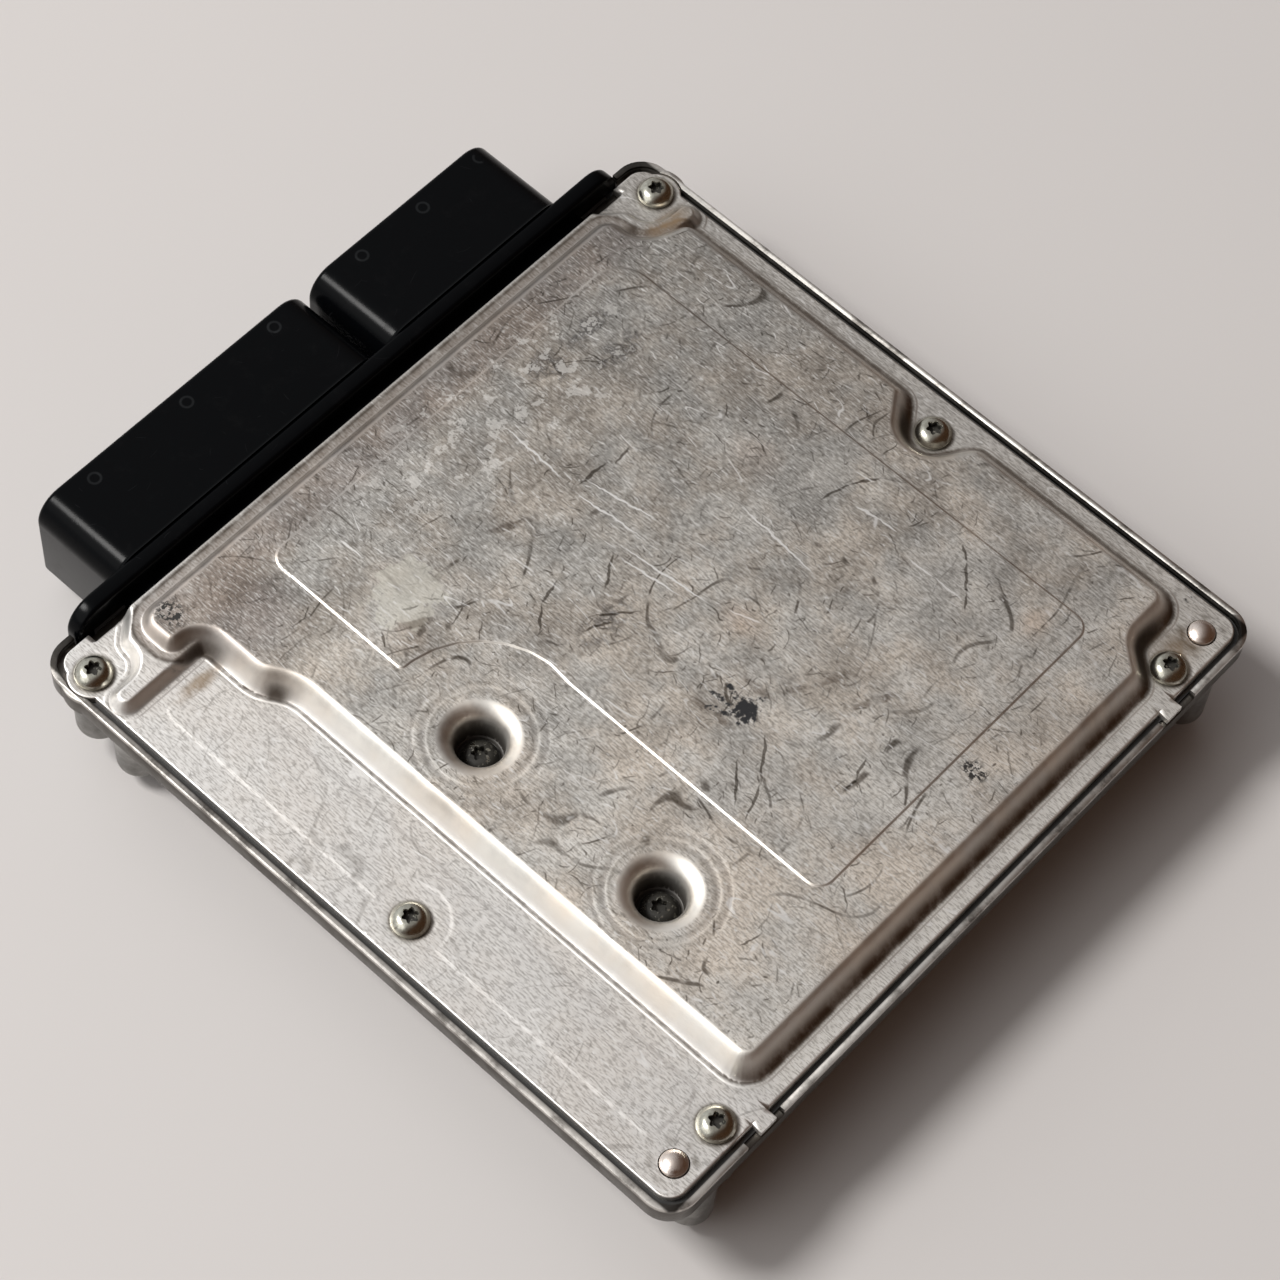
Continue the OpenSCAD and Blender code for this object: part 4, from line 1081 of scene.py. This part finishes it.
def stained(p, tone):
    """Dark blotches, pale flakes and faint brown stains."""
    tone = p.tint(p.spots(BLOTCHES) * p.grime.step(0.42, 0.58) * 0.8, tone, BLOTCH_TINT)
    tone = p.mix(p.grime.step(0.59, 0.61) * p.blob(*FLAKES) * 0.55, tone, FLAKE_TONE)
    return p.tint(p.spots(STAINS) * 0.35, tone, STAIN_TINT)


def smudge_mask(p):
    """Mask of a ragged black smudge with streaks."""
    ragged = p.noise(1.5, 4, 0.65, shift=71.0) - 0.5
    streaks = p.strokes(SMUDGE_STREAKS, width=1.1) * 0.55
    spot = (p.blob(*SMUDGE).most(streaks) + ragged * 1.9).step(0.42, 0.72)
    return spot * p.blob(*SMUDGE_REACH)


def soiled_and_shaded(p, tone):
    """Dirt with painted shade, rust, pits and smudge. Gives the tone, the dirt with its painted shade, and how
    far all these hide the metal.
    """
    # Painted shade with some dirt down the walls, darkest on walls facing away from the light
    tone = p.mix(p.mask("wall") * (p.worn * 0.35 + 0.65), tone, WALL_SHADE_AND_DIRT)
    # Painted shade with dirt in the creases at the walls' feet and in corners
    corner_shade_and_dirt = p.spots(CORNER_SHADE_AND_DIRT).most(p.blob(*WORN_CORNER_SHADE_AND_DIRT) * p.worn) * p.mask("nook")
    dirt = (p.mask("foot") * (p.worn * 0.5 + 0.5)).most(corner_shade_and_dirt)
    tone = p.mix(dirt * 0.93, tone, FOOT_SHADE_AND_DIRT)
    # Painted contact shade with dirt round screw heads and pegs, and darker rings round the wells
    tone = p.tint(p.mask("ring") * 0.8, tone, RING_SHADE_AND_DIRT)
    tone = p.mix(p.spots(RUST) * (p.worn * 0.6 + 0.4) * 0.75, tone, RUST_TONE)
    pits = p.spots(PITS) * p.noise(1.2, 3, 0.6, shift=27.0).step(0.49, 0.54)
    tone = p.mix(pits, tone, PIT_TONE)
    smudge = smudge_mask(p)
    tone = p.mix(smudge, tone, SMUDGE_TONE)
    # Painted shade inside the screw wells
    well = p.mask("well")
    tone = p.mix(well * 0.95, tone, WELL_SHADE)
    return tone, dirt, smudge.most(pits).most(dirt * 0.6).most(well * 0.8)


def cover_metal():
    """Worn pressed sheet."""
    p = CoverPaint()
    # Part of the dark here is painted shade: at the walls' feet, in corners, round fasteners and in the wells
    tone, dirt, soil_and_shade = soiled_and_shaded(p, stained(p, scratched(p, scraped(p, bare_sheet(p)))))
    rough = p.patch * 0.14 + p.fine * 0.1 + dirt * 0.2 + 0.36
    p.bump((p.grain * 0.3 + p.fine * 0.45) * p.level + p.noise(30, 2) * 6.0, 0.02)
    return p.set(Base_Color=tone, Roughness=rough, Metallic=soil_and_shade.off())


# Base casting: heights where its rim turns bright and painted shade darkens its ledge, and the dark gap round
# the cover, sealant with painted shade
RIM_FADE_Z = (25.6, 26.6)
LEDGE_SHADE_Z = (19.5, 22.5)
GAP_FADE = (1.7, 1.0)


def cast_metal():
    """Blotched casting with a worked rim, painted shade under its lip and a dark gap round the cover."""
    p = Paint("cast_aluminium")
    blotch = p.noise(7, 5, 0.6).step(0.35, 0.7)
    tone = p.mix(blotch, (0.33, 0.325, 0.31), (0.20, 0.195, 0.185))
    worked = p.z.step(*RIM_FADE_Z)
    # Painted shade: a dark band on the casting's side under the rim's lip
    under = p.z.step(*LEDGE_SHADE_Z) * worked.off()
    tone = p.mix(under * 0.8, tone, (0.075, 0.065, 0.055))
    tone = p.mix(worked * 0.85, tone, (0.70, 0.67, 0.63))
    stain = p.noise(7, 5, 0.7, shift=5.0)
    tone = p.mix(stain.step(0.4, 0.75) * 0.5, tone, (0.09, 0.076, 0.062))
    tone = p.mix(stain.step(0.46, 0.7) * worked * 0.6, tone, (0.06, 0.05, 0.042))
    # Dark sealant in the gap round the cover, with painted shade beside the cover's edge
    gap = (abs(p.x) - EDGE_X).most(p.y - REAR_Y).step(*GAP_FADE) * worked
    tone = p.mix(gap * 0.92, tone, (0.02, 0.017, 0.014))
    p.bump((p.noise(0.5, 3) + p.noise(2.4, 3, shift=2.0)) * (worked * -0.7 + 1.0), 0.05)
    return p.set(Base_Color=tone, Roughness=blotch * 0.16 + 0.34, Metallic=1.0)


def header_plastic():
    """Satin black moulding with a little dust, fine scratches and ejector rings on the shrouds' tops."""
    p = Paint("moulded_plastic")
    dust = p.noise(5, 5, 0.65).step(0.52, 0.82)
    tone = p.mix(dust * 0.5, (0.0012, 0.0014, 0.0018), (0.004, 0.004, 0.0044))
    hair = p.scuffs(*HEADER_SCUFFS)
    tone = p.mix(hair * 0.25, tone, (0.03, 0.03, 0.033))
    on_top = p.z.step(SHROUD_TOP_Z - 0.2, SHROUD_TOP_Z - 0.05)
    for x, y in EJECTORS:
        dx, dy = p.x - x, p.y - y
        groove = abs((dx * dx + dy * dy).op("SQRT") - EJECTOR_R).step(0.4, 0.1)
        tone = p.mix(groove * on_top * dust.op("MULTIPLY_ADD", 0.5, 0.3), tone, (0.03, 0.032, 0.034))
    p.bump(p.noise(0.25, 2) + dust * 0.3, 0.008)
    return p.set(Base_Color=tone, Roughness=dust * 0.1 + 0.2, Specular_IOR_Level=0.06)


def screw_zinc():
    """Zinc plate with dirt, and painted shade with dirt where the screw's mask has it: in sockets, round the
    heads' feet, and on heads deep in the wells.
    """
    p = Paint("zinc_plate")
    fine = p.noise(0.8, 4, 0.6)
    tone = p.mix(fine.step(0.3, 0.75), (0.55, 0.54, 0.47), (0.38, 0.365, 0.31))
    dirt = p.noise(1.6, 4, 0.7, shift=6.0).step(0.58, 0.72)
    tone = p.mix(dirt * 0.6, tone, (0.09, 0.07, 0.045))
    # Painted shade with dirt where the mask has it
    soil_and_shade = p.mask("soil_and_shade") * p.noise(1.1, 3, 0.6, shift=11.0).step(0.64, 0.58)
    tone = p.mix(soil_and_shade * 0.97, tone, (0.012, 0.01, 0.007))
    p.bump(p.noise(0.3, 2), 0.01)
    return p.set(Base_Color=tone, Roughness=fine * 0.16 + soil_and_shade * 0.4 + 0.16, Metallic=soil_and_shade.off())


# Slots and their materials; the pegs belong to the casting and have a look of their own
MATERIALS = {
    "sheet_aluminium": cover_metal(),
    "cast_aluminium": cast_metal(),
    "header_plastic": header_plastic(),
    "screw_steel": screw_zinc(),
    "peg": two_tone("peg_aluminium", (0.84, 0.75, 0.69), (0.68, 0.59, 0.53), 1.6, 0.26, 1.0),
    "seal_rubber": two_tone("seal_rubber", (0.018, 0.018, 0.018), (0.03, 0.029, 0.028), 2.5, 0.55),
    "board": two_tone("board_laminate", (0.01, 0.09, 0.035), (0.012, 0.06, 0.026), 6, 0.32),
    "package": two_tone("chip_epoxy", (0.018, 0.018, 0.019), (0.028, 0.027, 0.027), 1.5, 0.5),
    "contact_metal": two_tone("tinned_contact", (0.74, 0.70, 0.58), (0.62, 0.57, 0.45), 1.2, 0.24, 1.0),
    "can": two_tone("capacitor_can", (0.62, 0.63, 0.65), (0.5, 0.5, 0.52), 3, 0.3, 1.0),
    "ceramic": two_tone("capacitor_ceramic", (0.42, 0.29, 0.17), (0.34, 0.23, 0.13), 1, 0.4),
    "pad": two_tone("thermal_pad", (0.30, 0.42, 0.52), (0.26, 0.36, 0.46), 2, 0.7),
}

# Slots of the solids that show as they are; pins are metal, and every other node is a package
NODE_SLOTS = {
    "cover_seal": "seal_rubber", "header_seal": "seal_rubber", "circuit_board": "board", "thermal_pads": "pad",
    "electrolytic_capacitors": "can", "clock_crystal": "can", "ceramic_capacitors": "ceramic",
    "board_screws": "screw_steel",
}

place(build_cover(), "sheet_aluminium", MATERIALS["sheet_aluminium"], "top_cover")
place(build_header(), "header_plastic", MATERIALS["header_plastic"], "connector_header")
place(softened("base_housing", "base_casting", CASTING_ROUND, CASTING_LEAST_EDGE),
      "cast_aluminium", MATERIALS["cast_aluminium"], "base_housing")
place(build_screws("cover_screw_heads", COVER_SCREWS, FLANGE_Z - HEAD_SINK, COVER_SCREW_TURNS, 0.0),
      "screw_steel", MATERIALS["screw_steel"], "cover_screws")
# Heads deep in the wells are painted dark all over: painted shade with dirt
place(build_screws("well_screw_heads", WELLS, FLANGE_Z + PLATEAU_RISE - WELL_DEPTH, WELL_SCREW_TURNS, 1.0),
      "screw_steel", MATERIALS["screw_steel"], "well_screws")
place(build_pegs(), "cast_aluminium", MATERIALS["peg"])
for name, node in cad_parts.items():
    if not node.hide_render:
        slot = NODE_SLOTS.get(name, "contact_metal" if name.endswith("_pins") else "package")
        node.data.materials.clear()
        node.data.materials.append(MATERIALS[slot])


# Floor, light and camera

def build_floor():
    corners = [(x * FLOOR_HALF, y * FLOOR_HALF, FLOOR_Z) for x, y in ((-1, -1), (1, -1), (1, 1), (-1, 1))]
    floor = add_mesh("floor", corners, [(0, 1, 2, 3)])
    p = Paint("pale_table")
    wander = p.noise(180, 3)
    p.set(Base_Color=p.mix(wander, *FLOOR_TONES), Roughness=wander * 0.06 + 0.34)
    floor.data.materials.append(p.material)


def add_light(name, at, size, power, colour):
    """Round soft lamp aimed at the origin."""
    lamp = bpy.data.lights.new(name, "AREA")
    lamp.shape, lamp.size, lamp.energy, lamp.color = "DISK", size, power, colour
    thing = linked(name, lamp)
    thing.location = at
    thing.rotation_euler = (-Vector(at)).to_track_quat("-Z", "Y").to_euler()


def build_world():
    """Dim surroundings: lighter towards -Y and +X, dark and warm towards +Y."""
    world = bpy.data.worlds.new("studio")
    world.use_nodes = True
    tree = world.node_tree
    coordinates = new_node(tree, "TexCoord")
    lean = new_node(tree, "VectorMath", operation="DOT_PRODUCT")
    plug(Field(tree, coordinates.outputs["Generated"]), lean.inputs[0])
    plug(WORLD_LEAN, lean.inputs[1])
    share = Field(tree, lean.outputs["Value"]).step(0.0, 0.9)
    plug(blended(tree, share, WORLD_DARK, WORLD_LIGHT), tree.nodes["Background"].inputs["Color"])
    bpy.context.scene.world = world


def build_camera():
    data = bpy.data.cameras.new("camera")
    data.sensor_width, data.lens = CAMERA_SENSOR, CAMERA_LENS
    camera = linked("camera", data)
    axes = Matrix((CAMERA_RIGHT, CAMERA_UP, CAMERA_BACK)).transposed()
    camera.matrix_world = Matrix.Translation(CAMERA_AT) @ axes.to_4x4()
    bpy.context.scene.camera = camera


build_floor()
build_world()
for lamp_name, settings in LAMPS.items():
    add_light(lamp_name, *settings)
build_camera()
bpy.context.scene.view_settings.view_transform = "Standard"
